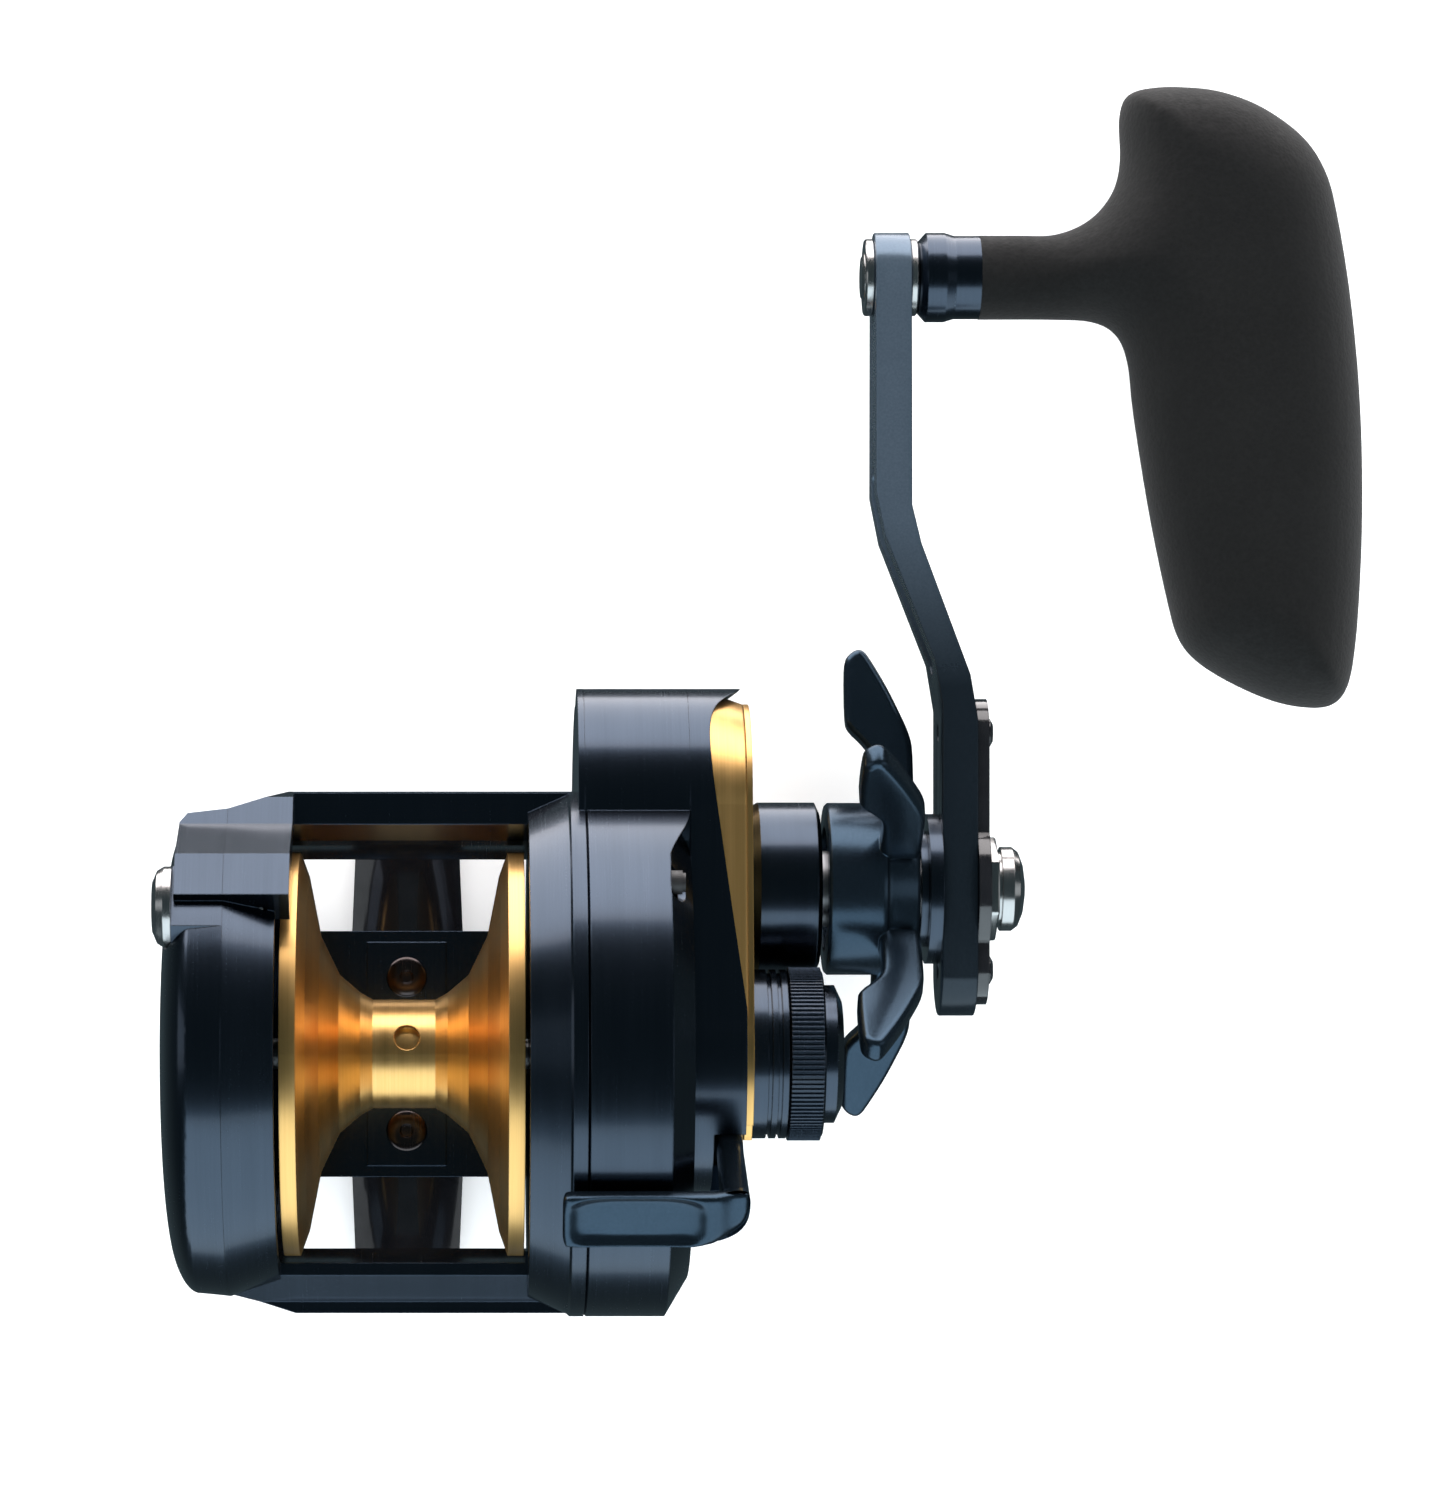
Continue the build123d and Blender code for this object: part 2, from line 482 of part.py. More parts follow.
for name, left, bore, outer, centre in (
        ("left_spool_bearing", FRAME_LEFT - 2.3, SHAFT_R, 5.0, SPOOL_AXIS),
        ("right_spool_bearing", WALL_FACE + 2.2, SHAFT_R, 5.5, SPOOL_AXIS),
        ("drive_shaft_bearing", FRAME_RIGHT - 3.6, 2.5, 5.5, DRIVE_AXIS),
        ("pinion_bearing", LOBE_RIM + 0.6, PINION_ROOT_R - 0.2 + FIT, 6.0, SPOOL_AXIS)):
    with BuildPart() as ring:
        bearing(left, left + 3.0, bore, outer, centre)
    save(ring, name)

# ---------------------------------------------------------------- gear case and handle-side cover
SCREW_BOSS_R = 2.6
CRESCENT_LEFT = LOBE_RIM + 2.4
CRESCENT_DEPTH = 4.5        # how far in from the outline the crescent reaches
CRESCENT_SLOPE = 2.0        # how far its bevel comes in by the outer face


def crescent_region():
    """What lies outboard of the crescent's curved inner edge, over the full height."""
    with BuildSketch(Plane.XY.offset(AXIS_Z - FAR / 2)) as region:
        with BuildLine():
            front = LOBE_CENTRE[0] + LOBE_R
            edge = Spline((CRESCENT_LEFT + 5.5, front + 0.6), (CRESCENT_LEFT + 3.4, front - 0.9),
                          (CRESCENT_LEFT + 1.4, front - 2.4), (CRESCENT_LEFT + 0.2, front - 8.0),
                          (CRESCENT_LEFT + 0.95, front - 15.4), (CRESCENT_LEFT + 4.1, front - 37.9),
                          (CRESCENT_LEFT + 5.8, front - 50.0))
            Polyline(edge @ 1, (COVER_FACE + 9, front - 50.0), (COVER_FACE + 9, front + 0.6), edge @ 0)
        make_face()
    return upright(region)


def outer_band():
    """The case outline's outer band, through the cover, as a ring."""
    ring = extrude(cover_sketch(CRESCENT_LEFT - 1), amount=TRIM_FACE - CRESCENT_LEFT + 1, mode=Mode.PRIVATE)
    core = extrude(cover_sketch(CRESCENT_LEFT - 1, -CRESCENT_DEPTH), amount=TRIM_FACE - CRESCENT_LEFT + 1,
                   mode=Mode.PRIVATE)
    return ring - core


CRESCENT = outer_band() & crescent_region()
BEHIND_RIM = behind_rim()
with BuildPart() as gear_case:
    extrude(case_sketch(FRAME_RIGHT), amount=LOBE_RIM - FRAME_RIGHT)
    extrude(case_sketch(FRAME_RIGHT, -CASE_WALL), amount=LOBE_DEPTH + CASE_DEPTH, mode=Mode.SUBTRACT)
    for (y, z), inner_end, seat in SCREWS:
        place = (y, AXIS_Z + z)
        tube(FRAME_RIGHT, min(seat, LOBE_RIM), 0, SCREW_BOSS_R, place)
        tube(inner_end, seat, 0, SCREW_R + 0.05, place, Mode.SUBTRACT)
    # Around the spool axis the case ends earlier than around the lobe.
    add(BEHIND_RIM, mode=Mode.INTERSECT)
    edges_left = gear_case.edges().group_by(Axis.X)[0].filter_by(lambda edge: edge.length > 20)
    outer_left = edges_left.sort_by(lambda edge: -edge.length)[0:1]
    chamfer(outer_left, 0.35)
save(gear_case, "gear_case")

LEVER_SWING = 20.0
LEVER_START = 118.0         # paddle's front edge, from forward toward up
LEVER_END = 130.0
LEVER_ROOT = 126.0          # front edge of the arm where it leaves the cover
RECESS_FLOOR = COVER_FACE - 4.0
PIVOT_R = BOSS_R + 3.2
with BuildPart() as side_cover:
    # The end of the case slopes in to the cover's smaller block.
    turned([(CASE_RIM, 0), (CASE_RIM, FRAME_R), (LOBE_RIM, FRAME_R - CASE_BEVEL), (LOBE_RIM, 0)])
    for centre, radius in ((DRIVE_AXIS, DRIVE_CASE_R), ((LOBE_CENTRE[0], AXIS_Z + LOBE_CENTRE[1]), LOBE_R)):
        tube(CASE_RIM, LOBE_RIM, 0, radius, centre)
    extrude(cover_sketch(LOBE_RIM), amount=COVER_DEPTH)
    # Pocket over the gears, drag-stack pocket, bearing seat and drive-shaft opening.
    extrude(case_sketch(CASE_RIM - 1, -CASE_WALL), amount=1.9, mode=Mode.SUBTRACT)
    extrude(cover_sketch(CASE_RIM, -CASE_WALL), amount=LOBE_DEPTH, mode=Mode.SUBTRACT)
    tube(LOBE_RIM, LOBE_RIM + 4.2, 0, 10.2, DRIVE_AXIS, Mode.SUBTRACT)
    tube(LOBE_RIM, COVER_FACE, 0, 8.0, DRIVE_AXIS, Mode.SUBTRACT)
    tube(LOBE_RIM, COVER_FACE, 0, 4.0, mode=Mode.SUBTRACT)
    # Recess that the clutch lever turns in, open to the rear and top.
    tube(RECESS_FLOOR, COVER_FACE, BOSS_R, PIVOT_R + FREE, mode=Mode.SUBTRACT)
    plate(RECESS_FLOOR, COVER_FACE, sector(BOSS_R, FRAME_R + 8, LEVER_ROOT - 1.0,
                                           LEVER_END + LEVER_SWING + 22.5), mode=Mode.SUBTRACT)
    for (y, z), _, seat in SCREWS:
        tube(CASE_RIM, seat, 0, SCREW_BOSS_R, (y, AXIS_Z + z))
    add(BEHIND_RIM, mode=Mode.SUBTRACT)
    for (y, z), inner_end, seat in SCREWS:
        tube(inner_end, COVER_FACE, 0, SCREW_R + 0.05, (y, AXIS_Z + z), Mode.SUBTRACT)
        tube(seat, COVER_FACE, 0, 2.3, (y, AXIS_Z + z), Mode.SUBTRACT)
    # The boss that the cast control screws on to stands out of the lever's recess.
    tube(RECESS_FLOOR, COVER_FACE, 4.0, BOSS_R)
    tube(LOBE_RIM, LOBE_RIM + 3.6, 0, 6.0, mode=Mode.SUBTRACT)
    add(CRESCENT, mode=Mode.SUBTRACT)
    # Notch that holds a small button on the top.
    tube(CASE_RIM, CASE_RIM + 2.6, 0, 2.4, BUTTON_PLACE, Mode.SUBTRACT)
save(side_cover, "side_cover")

with BuildPart() as case_button:
    tube(CASE_RIM, CASE_RIM + 1.4, 0, 1.5, BUTTON_PLACE)
    tube(CASE_RIM + 1.4, CASE_RIM + 1.8, 0, 1.2, BUTTON_PLACE)
save(case_button, "case_button")

with BuildPart() as trim_crescent:
    for centre, radius in (((0, 0), COVER_R), ((HANDLE_FORWARD, -HANDLE_DROP), DRIVE_CASE_R),
                           (LOBE_CENTRE, LOBE_R)):
        turned([(CRESCENT_LEFT, 0), (CRESCENT_LEFT, radius - 0.25),
                (TRIM_FACE, radius - 0.25 - CRESCENT_SLOPE), (TRIM_FACE, 0)],
               (centre[0], AXIS_Z + centre[1]))
    # Level stretch between the two rounds, sloping in by the same amount.
    with BuildSketch(Plane.XZ.offset(-LOBE_CENTRE[0])) as level:
        with BuildLine():
            top = AXIS_Z + LOBE_CENTRE[1] + LOBE_R - 0.25
            Polyline((CRESCENT_LEFT, AXIS_Z), (CRESCENT_LEFT, top), (TRIM_FACE, top - CRESCENT_SLOPE),
                     (TRIM_FACE, AXIS_Z), close=True)
        make_face()
    rise = (COVER_R - LOBE_CENTRE[1] - LOBE_R) / LOBE_CENTRE[0]
    extrude(level.sketch, amount=LOBE_CENTRE[0], dir=(0, -1, rise))
    add(CRESCENT, mode=Mode.INTERSECT)
    extrude(cover_sketch(COVER_FACE, -CRESCENT_SLOPE), amount=TRIM_THICKNESS + 1, mode=Mode.SUBTRACT)
save(trim_crescent, "trim_crescent")

with BuildPart() as cover_screws:
    for (y, z), inner_end, seat in SCREWS:
        place = (y, AXIS_Z + z)
        tube(inner_end, seat, 0, SCREW_R - FIT, place)
        tube(seat, seat + 1.4, 0, 2.2, place)
        plate(seat + 0.7, seat + 1.5, [(-1.5, -0.25), (1.5, -0.25), (1.5, 0.25), (-1.5, 0.25)],
              place, Mode.SUBTRACT)
save(cover_screws, "cover_screws")

with BuildPart() as trim_plate:
    # Thin outer plate: the lobe side of the outline, cut away behind for the lever.
    extrude(cover_sketch(COVER_FACE, -CRESCENT_SLOPE), amount=TRIM_THICKNESS)
    with BuildSketch(side(COVER_FACE)) as rear:
        with Locations((-11 - FAR / 2, 0)):
            Rectangle(FAR, 2 * FAR)
    extrude(rear.sketch, amount=TRIM_THICKNESS, mode=Mode.SUBTRACT)
    plate(COVER_FACE, TRIM_FACE, sector(PIVOT_R + FREE, FRAME_R + 8, LEVER_ROOT - 1.0,
                                        LEVER_END + LEVER_SWING + 22.5), mode=Mode.SUBTRACT)
    tube(COVER_FACE, TRIM_FACE, 0, BOSS_R + FIT, mode=Mode.SUBTRACT)
    tube(COVER_FACE, TRIM_FACE, 0, 8.0, DRIVE_AXIS, Mode.SUBTRACT)
save(trim_plate, "trim_plate")

with BuildPart() as cast_control_boss:
    x = COVER_FACE
    grooves = [(BOSS_RIGHT - 2.6, BOSS_RIGHT - 2.1), (BOSS_RIGHT - 1.3, BOSS_RIGHT - 0.8)]
    outline = [(x, 4.0), (x, BOSS_R)]
    for left, right in grooves:
        outline += [(left, BOSS_R), (left, BOSS_R - 0.5), (right, BOSS_R - 0.5), (right, BOSS_R)]
    outline += [(BOSS_RIGHT, BOSS_R), (BOSS_RIGHT, BOSS_R - 2.2), (TENSION_RIGHT - 1.6, BOSS_R - 2.2),
                (TENSION_RIGHT - 1.6, 4.0)]
    turned(outline)
save(cast_control_boss, "cast_control_boss")

with BuildPart() as drive_collar:
    turned([(COVER_FACE - 4.5, 6.9), (COVER_FACE - 4.5, 8.0 - FIT), (TRIM_FACE, 8.0 - FIT),
            (TRIM_FACE, COLLAR_R - 1.0), (COLLAR_LEFT, COLLAR_R), (COLLAR_RIGHT - 0.6, COLLAR_R),
            (COLLAR_RIGHT, COLLAR_R - 1.3), (COLLAR_RIGHT, 7.4), (COLLAR_RIGHT - 0.8, 7.4),
            (COLLAR_RIGHT - 0.8, 8.2), (COVER_FACE + 1.4, 8.2), (COVER_FACE + 1.4, 6.9)], DRIVE_AXIS)
save(drive_collar, "drive_collar")

with BuildPart() as one_way_clutch:
    tube(COVER_FACE + 1.6, COLLAR_RIGHT - 1.0, 5.0 + FIT, 8.2 - FIT, DRIVE_AXIS)
save(one_way_clutch, "one_way_clutch")

# ---------------------------------------------------------------- clutch
with BuildPart() as pinion_gear:
    plate(PINION_TEETH_LEFT, PINION_TEETH_RIGHT, gear_outline(PINION_TEETH, TO_DRIVE + 180 / PINION_TEETH))
    tube(DOG_RIGHT, PINION_TEETH_LEFT, 0, 3.0)
    tube(GROOVE_RIGHT, PINION_TEETH_LEFT, 0, 4.4)
    tube(DOG_LEFT, DOG_RIGHT, 0, 4.4)
    tube(PINION_TEETH_RIGHT, LOBE_RIM + 3.6, 0, PINION_ROOT_R - 0.2)
    tube(DOG_LEFT, LOBE_RIM + 3.6, 0, SHAFT_R + 0.05, mode=Mode.SUBTRACT)
    # Slot for the drive pin.
    with BuildSketch(side(DOG_LEFT)) as slot:
        with Locations(Rotation(0, 0, TO_DRIVE)):
            Rectangle(12, 1.4 + 0.2)
    extrude(slot.sketch, amount=1.3, mode=Mode.SUBTRACT)
save(pinion_gear, "pinion_gear")

with BuildPart() as clutch_yoke:
    with BuildSketch(side(YOKE_LEFT)) as yoke:
        with Locations(Rotation(0, 0, TO_DRIVE + 90)):
            SlotOverall(2 * PIN_REACH + 6, 6.4)
        Circle(3.0 + 0.1, mode=Mode.SUBTRACT)
        with Locations(Rotation(0, 0, TO_DRIVE)):
            with Locations((10, 0)):
                Rectangle(20, 6.2, mode=Mode.SUBTRACT)
        for angle in PIN_ANGLES:
            with Locations(polar(PIN_REACH, angle)):
                Circle(PIN_R + 0.05, mode=Mode.SUBTRACT)
    extrude(yoke.sketch, amount=YOKE_THICKNESS)
save(clutch_yoke, "clutch_yoke")

SPRING_END = YOKE_LEFT + YOKE_THICKNESS + 6.0
with BuildPart() as guide_pins:
    for angle in PIN_ANGLES:
        centre = moved(SPOOL_AXIS, PIN_REACH, angle)
        tube(FRAME_RIGHT - 3, SPRING_END, 0, PIN_R - FIT, centre)
        tube(SPRING_END, SPRING_END + 0.8, 0, 2.4, centre)
save(guide_pins, "guide_pins")

with BuildPart() as yoke_springs:
    for angle in PIN_ANGLES:
        centre = moved(SPOOL_AXIS, PIN_REACH, angle)
        tube(YOKE_LEFT + YOKE_THICKNESS + CLUTCH_TRAVEL + 0.2, SPRING_END, PIN_R + 0.2, 2.0, centre)
save(yoke_springs, "yoke_springs")

LEVER_LEFT = RECESS_FLOOR + FREE
LEVER_RIGHT = COVER_FACE - FREE
PADDLE_R = FRAME_R + 1.3
PADDLE_THICKNESS = 2.6
PADDLE_LEFT = WALL_FACE + 3.9
with BuildPart() as clutch_lever:
    tube(LEVER_LEFT, LEVER_RIGHT, BOSS_R + 0.08, PIVOT_R)
    # Side arm, leaning forward as it leaves the cover, and the thumb paddle that reaches over the case.
    paddle_band = sector(PADDLE_R, PADDLE_R + PADDLE_THICKNESS, LEVER_START, LEVER_END)
    plate(LEVER_LEFT, LEVER_RIGHT, [polar(BOSS_R + 1, LEVER_ROOT), polar(BOSS_R + 1, LEVER_ROOT + 20)]
          + paddle_band[8::-1] + [polar(COVER_R + 1.5, LEVER_ROOT)])
    with BuildSketch(Plane.XY.offset(AXIS_Z)) as reach:
        with BuildLine():
            near = PADDLE_R * cos(radians(LEVER_START))
            far = (PADDLE_R + PADDLE_THICKNESS) * cos(radians(LEVER_END))
            low = Line((PADDLE_LEFT, far - 2), (PADDLE_LEFT, near + 2))
            Polyline(low @ 1, (LEVER_LEFT - 5.0, near + 2), (LEVER_LEFT, near + 5),
                     (LEVER_RIGHT, near + 5), (LEVER_RIGHT, far + 3.5), (LEVER_RIGHT - 3.0, far + 1.2),
                     (LEVER_RIGHT - 8.0, far - 2), low @ 0)
        make_face()
    with BuildPart(mode=Mode.PRIVATE) as paddle:
        plate(PADDLE_LEFT, LEVER_RIGHT, paddle_band)
        add(extrude(reach.sketch, amount=FAR, mode=Mode.PRIVATE), mode=Mode.INTERSECT)
    add(paddle.part)
save(clutch_lever, "clutch_lever")

with BuildPart() as clutch_cam:
    tube(LOBE_RIM - 1.2, LOBE_RIM - 0.2, PINION_R + 0.4, 8.6)
    for angle in (60, 240):
        plate(LOBE_RIM - 1.2, LOBE_RIM - 0.2, sector(8.0, 10.4, angle - 25, angle + 25))
save(clutch_cam, "clutch_cam")

# ---------------------------------------------------------------- drive shaft, gear and drag
with BuildPart() as drive_shaft:
    turned([(FRAME_RIGHT - 3.5, 0), (FRAME_RIGHT - 3.5, 2.5 - FIT), (FRAME_RIGHT - 0.4, 2.5 - FIT),
            (FRAME_RIGHT - 0.4, DRIVE_SHAFT_R - FIT), (NUT_RIGHT, DRIVE_SHAFT_R - FIT),
            (NUT_RIGHT, 1.5), (NUT_RIGHT - 6, 1.5), (NUT_RIGHT - 6, 0)], DRIVE_AXIS)
    # Flats that carry the handle and keep the drag's pressure washers from turning.
    for z in (DRIVE_SHAFT_R - 0.8 + 2, -DRIVE_SHAFT_R + 0.8 - 2):
        plate(SPACER_LEFT, NUT_RIGHT + 1, [(-6, z - 2), (6, z - 2), (6, z + 2), (-6, z + 2)],
              DRIVE_AXIS, Mode.SUBTRACT)
save(drive_shaft, "drive_shaft")

RATCHET_R = 9.6
RATCHET_TEETH = 12
with BuildPart() as ratchet_wheel:
    teeth = []
    for i in range(RATCHET_TEETH):
        angle = 360 * i / RATCHET_TEETH
        teeth += [polar(RATCHET_R, angle), polar(RATCHET_R - 1.6, angle + 1.5),
                  polar(RATCHET_R - 1.2, angle + 12)]
    plate(RATCHET_LEFT, RATCHET_LEFT + RATCHET_THICKNESS, teeth, DRIVE_AXIS)
    tube(RATCHET_LEFT, RATCHET_LEFT + RATCHET_THICKNESS, 0, DRIVE_SHAFT_R, DRIVE_AXIS, Mode.SUBTRACT)
save(ratchet_wheel, "ratchet_wheel")

with BuildPart() as pawl_pin:
    tube(FRAME_RIGHT - 3, RATCHET_LEFT + 3.2, 0, PIN_R - FIT, PAWL_PIN)
save(pawl_pin, "pawl_pin")

with BuildPart() as anti_reverse_pawl:
    # Lifted clear of the wheel, as while the handle winds.
    plate(RATCHET_LEFT, RATCHET_LEFT + RATCHET_THICKNESS,
          [polar(2.4, PAWL_ANGLE + 90), polar(9.3, PAWL_ANGLE), polar(9.0, PAWL_ANGLE - 9),
           polar(2.4, PAWL_ANGLE - 90)], PAWL_PIN)
    tube(RATCHET_LEFT, RATCHET_LEFT + RATCHET_THICKNESS, 0, 2.6, PAWL_PIN)
    tube(RATCHET_LEFT, RATCHET_LEFT + RATCHET_THICKNESS, 0, PIN_R + 0.05, PAWL_PIN, Mode.SUBTRACT)
save(anti_reverse_pawl, "anti_reverse_pawl")

DRUM_R = MODULE * DRIVE_TEETH / 2 - DEDENDUM - 1.6
DRUM_FLOOR = GEAR_LEFT + 0.9
with BuildPart() as drive_gear:
    plate(GEAR_LEFT, GEAR_RIGHT, gear_outline(DRIVE_TEETH, TO_DRIVE + 180), DRIVE_AXIS)
    tube(DRUM_FLOOR, GEAR_RIGHT, 0, DRUM_R, DRIVE_AXIS, Mode.SUBTRACT)
    tube(GEAR_LEFT, GEAR_RIGHT, 0, DRIVE_SHAFT_R + 0.05, DRIVE_AXIS, Mode.SUBTRACT)
save(drive_gear, "drive_gear")

WASHER = 0.5
STACK = {"drag_washers": (0, 2, 4), "drag_discs": (1, 3)}
for name, layers in STACK.items():
    with BuildPart() as washers:
        for layer in layers:
            left = DRUM_FLOOR + layer * WASHER
            tube(left, left + WASHER, DRIVE_SHAFT_R + 0.3, DRUM_R - 0.3, DRIVE_AXIS)
    save(washers, name)

PRESSURE_LEFT = DRUM_FLOOR + 5 * WASHER
with BuildPart() as pressure_plate:
    turned([(PRESSURE_LEFT, DRIVE_SHAFT_R), (PRESSURE_LEFT, DRUM_R - 0.3),
            (PRESSURE_LEFT + 0.8, DRUM_R - 0.3), (PRESSURE_LEFT + 1.4, 8.4), (PRESSURE_LEFT + 1.8, 8.4),
            (PRESSURE_LEFT + 1.8, DRIVE_SHAFT_R)], DRIVE_AXIS)
save(pressure_plate, "pressure_plate")

CONE_LEFT = PRESSURE_LEFT + 1.8
with BuildPart() as drag_springs:
    for left in (CONE_LEFT, CONE_LEFT + 1.0):
        turned([(left, 4.2), (left + 0.5, 7.8), (left + 1.0, 7.8), (left + 0.5, 4.2)], DRIVE_AXIS)
save(drag_springs, "drag_springs")

with BuildPart() as clutch_sleeve:
    turned([(CONE_LEFT + 2.0, DRIVE_SHAFT_R), (STAR_LEFT + 1.6, DRIVE_SHAFT_R), (STAR_LEFT + 1.6, 5.0),
            (CONE_LEFT + 3.2, 5.0), (CONE_LEFT + 3.2, 7.8), (CONE_LEFT + 2.0, 7.8)], DRIVE_AXIS)
save(clutch_sleeve, "clutch_sleeve")

# ---------------------------------------------------------------- star drag
NUT_R = 7.0                 # star nut, across corners / 2
NUT_LEFT = STAR_LEFT + 2.1
with BuildPart() as star_wheel:
    turned([(STAR_LEFT, 8.2), (STAR_LEFT, COLLAR_R), (SKIRT_RIGHT - 0.4, COLLAR_R),
            (SKIRT_RIGHT, COLLAR_R - 0.4), (SKIRT_RIGHT + 0.6, 10.2), (STAR_RIGHT, 9.4),
            (STAR_RIGHT, DRIVE_SHAFT_R + 0.05), (SKIRT_RIGHT, DRIVE_SHAFT_R + 0.05), (SKIRT_RIGHT, 8.2)],
           DRIVE_AXIS)
    # Inner wall with the six-sided hole that carries the nut round.
    tube(STAR_LEFT + 1.0, SKIRT_RIGHT, 0, 8.4, DRIVE_AXIS)
    with BuildSketch(side(STAR_LEFT, DRIVE_AXIS)) as socket:
        RegularPolygon(NUT_R + 0.12, 6)
    extrude(socket.sketch, amount=SKIRT_RIGHT - STAR_LEFT, mode=Mode.SUBTRACT)
    # Arms: a fin profile that leans back toward the reel, repeated round the hub.
    fin = [(STAR_LEFT + 6.9, 9.0), (STAR_LEFT + 5.2, 18.0), (STAR_LEFT + 2.9, 20.0),
           (STAR_LEFT + 2.9, STAR_R - 1.2), (STAR_LEFT + 3.5, STAR_R), (STAR_LEFT + 7.1, STAR_R),
           (STAR_LEFT + 8.2, STAR_R - 3.2), (STAR_LEFT + 10.9, STAR_R - 8.2),
           (STAR_RIGHT, STAR_R - 12.2), (STAR_RIGHT, 7.0)]
    for i in range(STAR_ARMS):
        angle = -12 + 360 * i / STAR_ARMS
        across = Plane(origin=(0, DRIVE_AXIS[0], DRIVE_AXIS[1]), x_dir=(1, 0, 0),
                       z_dir=(0, -sin(radians(angle)), cos(radians(angle))))
        with BuildSketch(across) as arm:
            with BuildLine():
                Polyline(*fin, close=True)
            make_face()
        extrude(arm.sketch, amount=STAR_FIN / 2, both=True)
    tube(STAR_LEFT - 1, STAR_RIGHT + 1, 0, DRIVE_SHAFT_R + 0.05, DRIVE_AXIS, Mode.SUBTRACT)
    tube(STAR_LEFT, STAR_LEFT + 1.7, 0, 5.3, DRIVE_AXIS, Mode.SUBTRACT)
save(star_wheel, "star_wheel")

with BuildPart() as star_nut:
    with BuildSketch(side(NUT_LEFT, DRIVE_AXIS)) as nut:
        RegularPolygon(NUT_R, 6)
        Circle(DRIVE_SHAFT_R + 0.02, mode=Mode.SUBTRACT)
    extrude(nut.sketch, amount=3.6)
save(star_nut, "star_nut")

with BuildPart() as star_click_ring:
    tube(STAR_RIGHT + FREE, SPACER_LEFT, DRIVE_SHAFT_R, 7.6, DRIVE_AXIS)
save(star_click_ring, "star_click_ring")

with BuildPart() as handle_spacer:
    tube(SPACER_LEFT, ARM_HUB_LEFT, DRIVE_SHAFT_R, 9.8, DRIVE_AXIS)
save(handle_spacer, "handle_spacer")

# ---------------------------------------------------------------- handle
with BuildPart() as handle_arm:
    # Plan outline with the crank, cut to the side outline with its round ends.
    bend_start = ARM_LENGTH * 0.62
    bend_end = ARM_LENGTH * 0.37
    y0 = DRIVE_AXIS[0]
    with BuildSketch(Plane.XY.offset(DRIVE_AXIS[1] - ARM_WIDTH)):
        with BuildLine():
            Polyline((ARM_HUB_LEFT, y0 - ARM_TAIL), (ARM_HUB_LEFT, y0 + bend_end - 6),
                     (ARM_HUB_LEFT - 1.0, y0 + bend_end), (ARM_TIP_LEFT + 1.2, y0 + bend_start - 4),
                     (ARM_TIP_LEFT, y0 + bend_start + 2), (ARM_TIP_LEFT, y0 + ARM_LENGTH + 8),
                     (ARM_TIP_RIGHT, y0 + ARM_LENGTH + 8), (ARM_TIP_RIGHT, y0 + bend_start),
                     (ARM_TIP_RIGHT + 1.2, y0 + bend_start - 5), (ARM_HUB_RIGHT - 1.0, y0 + bend_end - 2),
                     (ARM_HUB_RIGHT, y0 + bend_end - 8), (ARM_HUB_RIGHT, y0 - ARM_TAIL), close=True)
        make_face()
    extrude(amount=2 * ARM_WIDTH)
    with BuildSketch(side(ARM_TIP_LEFT - 1, DRIVE_AXIS)) as outline:
        with BuildLine():
            tail = Line((-ARM_TAIL + 5, -ARM_WIDTH / 2), (ARM_LENGTH * 0.3, -ARM_WIDTH / 2))
            tip_low = Line(tail @ 1, (ARM_LENGTH, -5.8))
            tip = ThreePointArc(tip_low @ 1, (ARM_LENGTH + 5.8, 0), (ARM_LENGTH, 5.8))
            tip_high = Line(tip @ 1, (ARM_LENGTH * 0.3, ARM_WIDTH / 2))
            top = Line(tip_high @ 1, (-ARM_TAIL + 5, ARM_WIDTH / 2))
            ThreePointArc(top @ 1, (-ARM_TAIL, 0), tail @ 0)
        make_face()
    extrude(outline.sketch, amount=ARM_CRANK + ARM_THICKNESS + 2, mode=Mode.INTERSECT)
    # Lightening slot, shaft hole with two flats, knob hole and retainer screw holes.
    with BuildSketch(side(ARM_TIP_LEFT - 1, DRIVE_AXIS)) as slots:
        with Locations((ARM_LENGTH * 0.52, 0)):
            SlotOverall(ARM_LENGTH * 0.34, 4.4)
        with Locations((ARM_LENGTH, 0)):
            Circle(KNOB_POST_R)
    extrude(slots.sketch, amount=ARM_CRANK + ARM_THICKNESS + 2, mode=Mode.SUBTRACT)
    with BuildSketch(side(ARM_HUB_LEFT, DRIVE_AXIS)) as hole:
        Circle(DRIVE_SHAFT_R)
        Rectangle(2 * DRIVE_SHAFT_R, 2 * (DRIVE_SHAFT_R - 0.8) + 2 * FIT, mode=Mode.INTERSECT)
        with Locations((20.4, 0), (-10.6, 0)):
            Circle(1.1)
    extrude(hole.sketch, amount=ARM_THICKNESS, mode=Mode.SUBTRACT)
save(handle_arm, "handle_arm")

HANDLE_NUT_R = 6.85
with BuildPart() as handle_nut:
    with BuildSketch(side(ARM_HUB_RIGHT, DRIVE_AXIS)) as nut:
        RegularPolygon(HANDLE_NUT_R, 6)
        Circle(DRIVE_SHAFT_R, mode=Mode.SUBTRACT)
    extrude(nut.sketch, amount=NUT_THICKNESS)
save(handle_nut, "handle_nut")

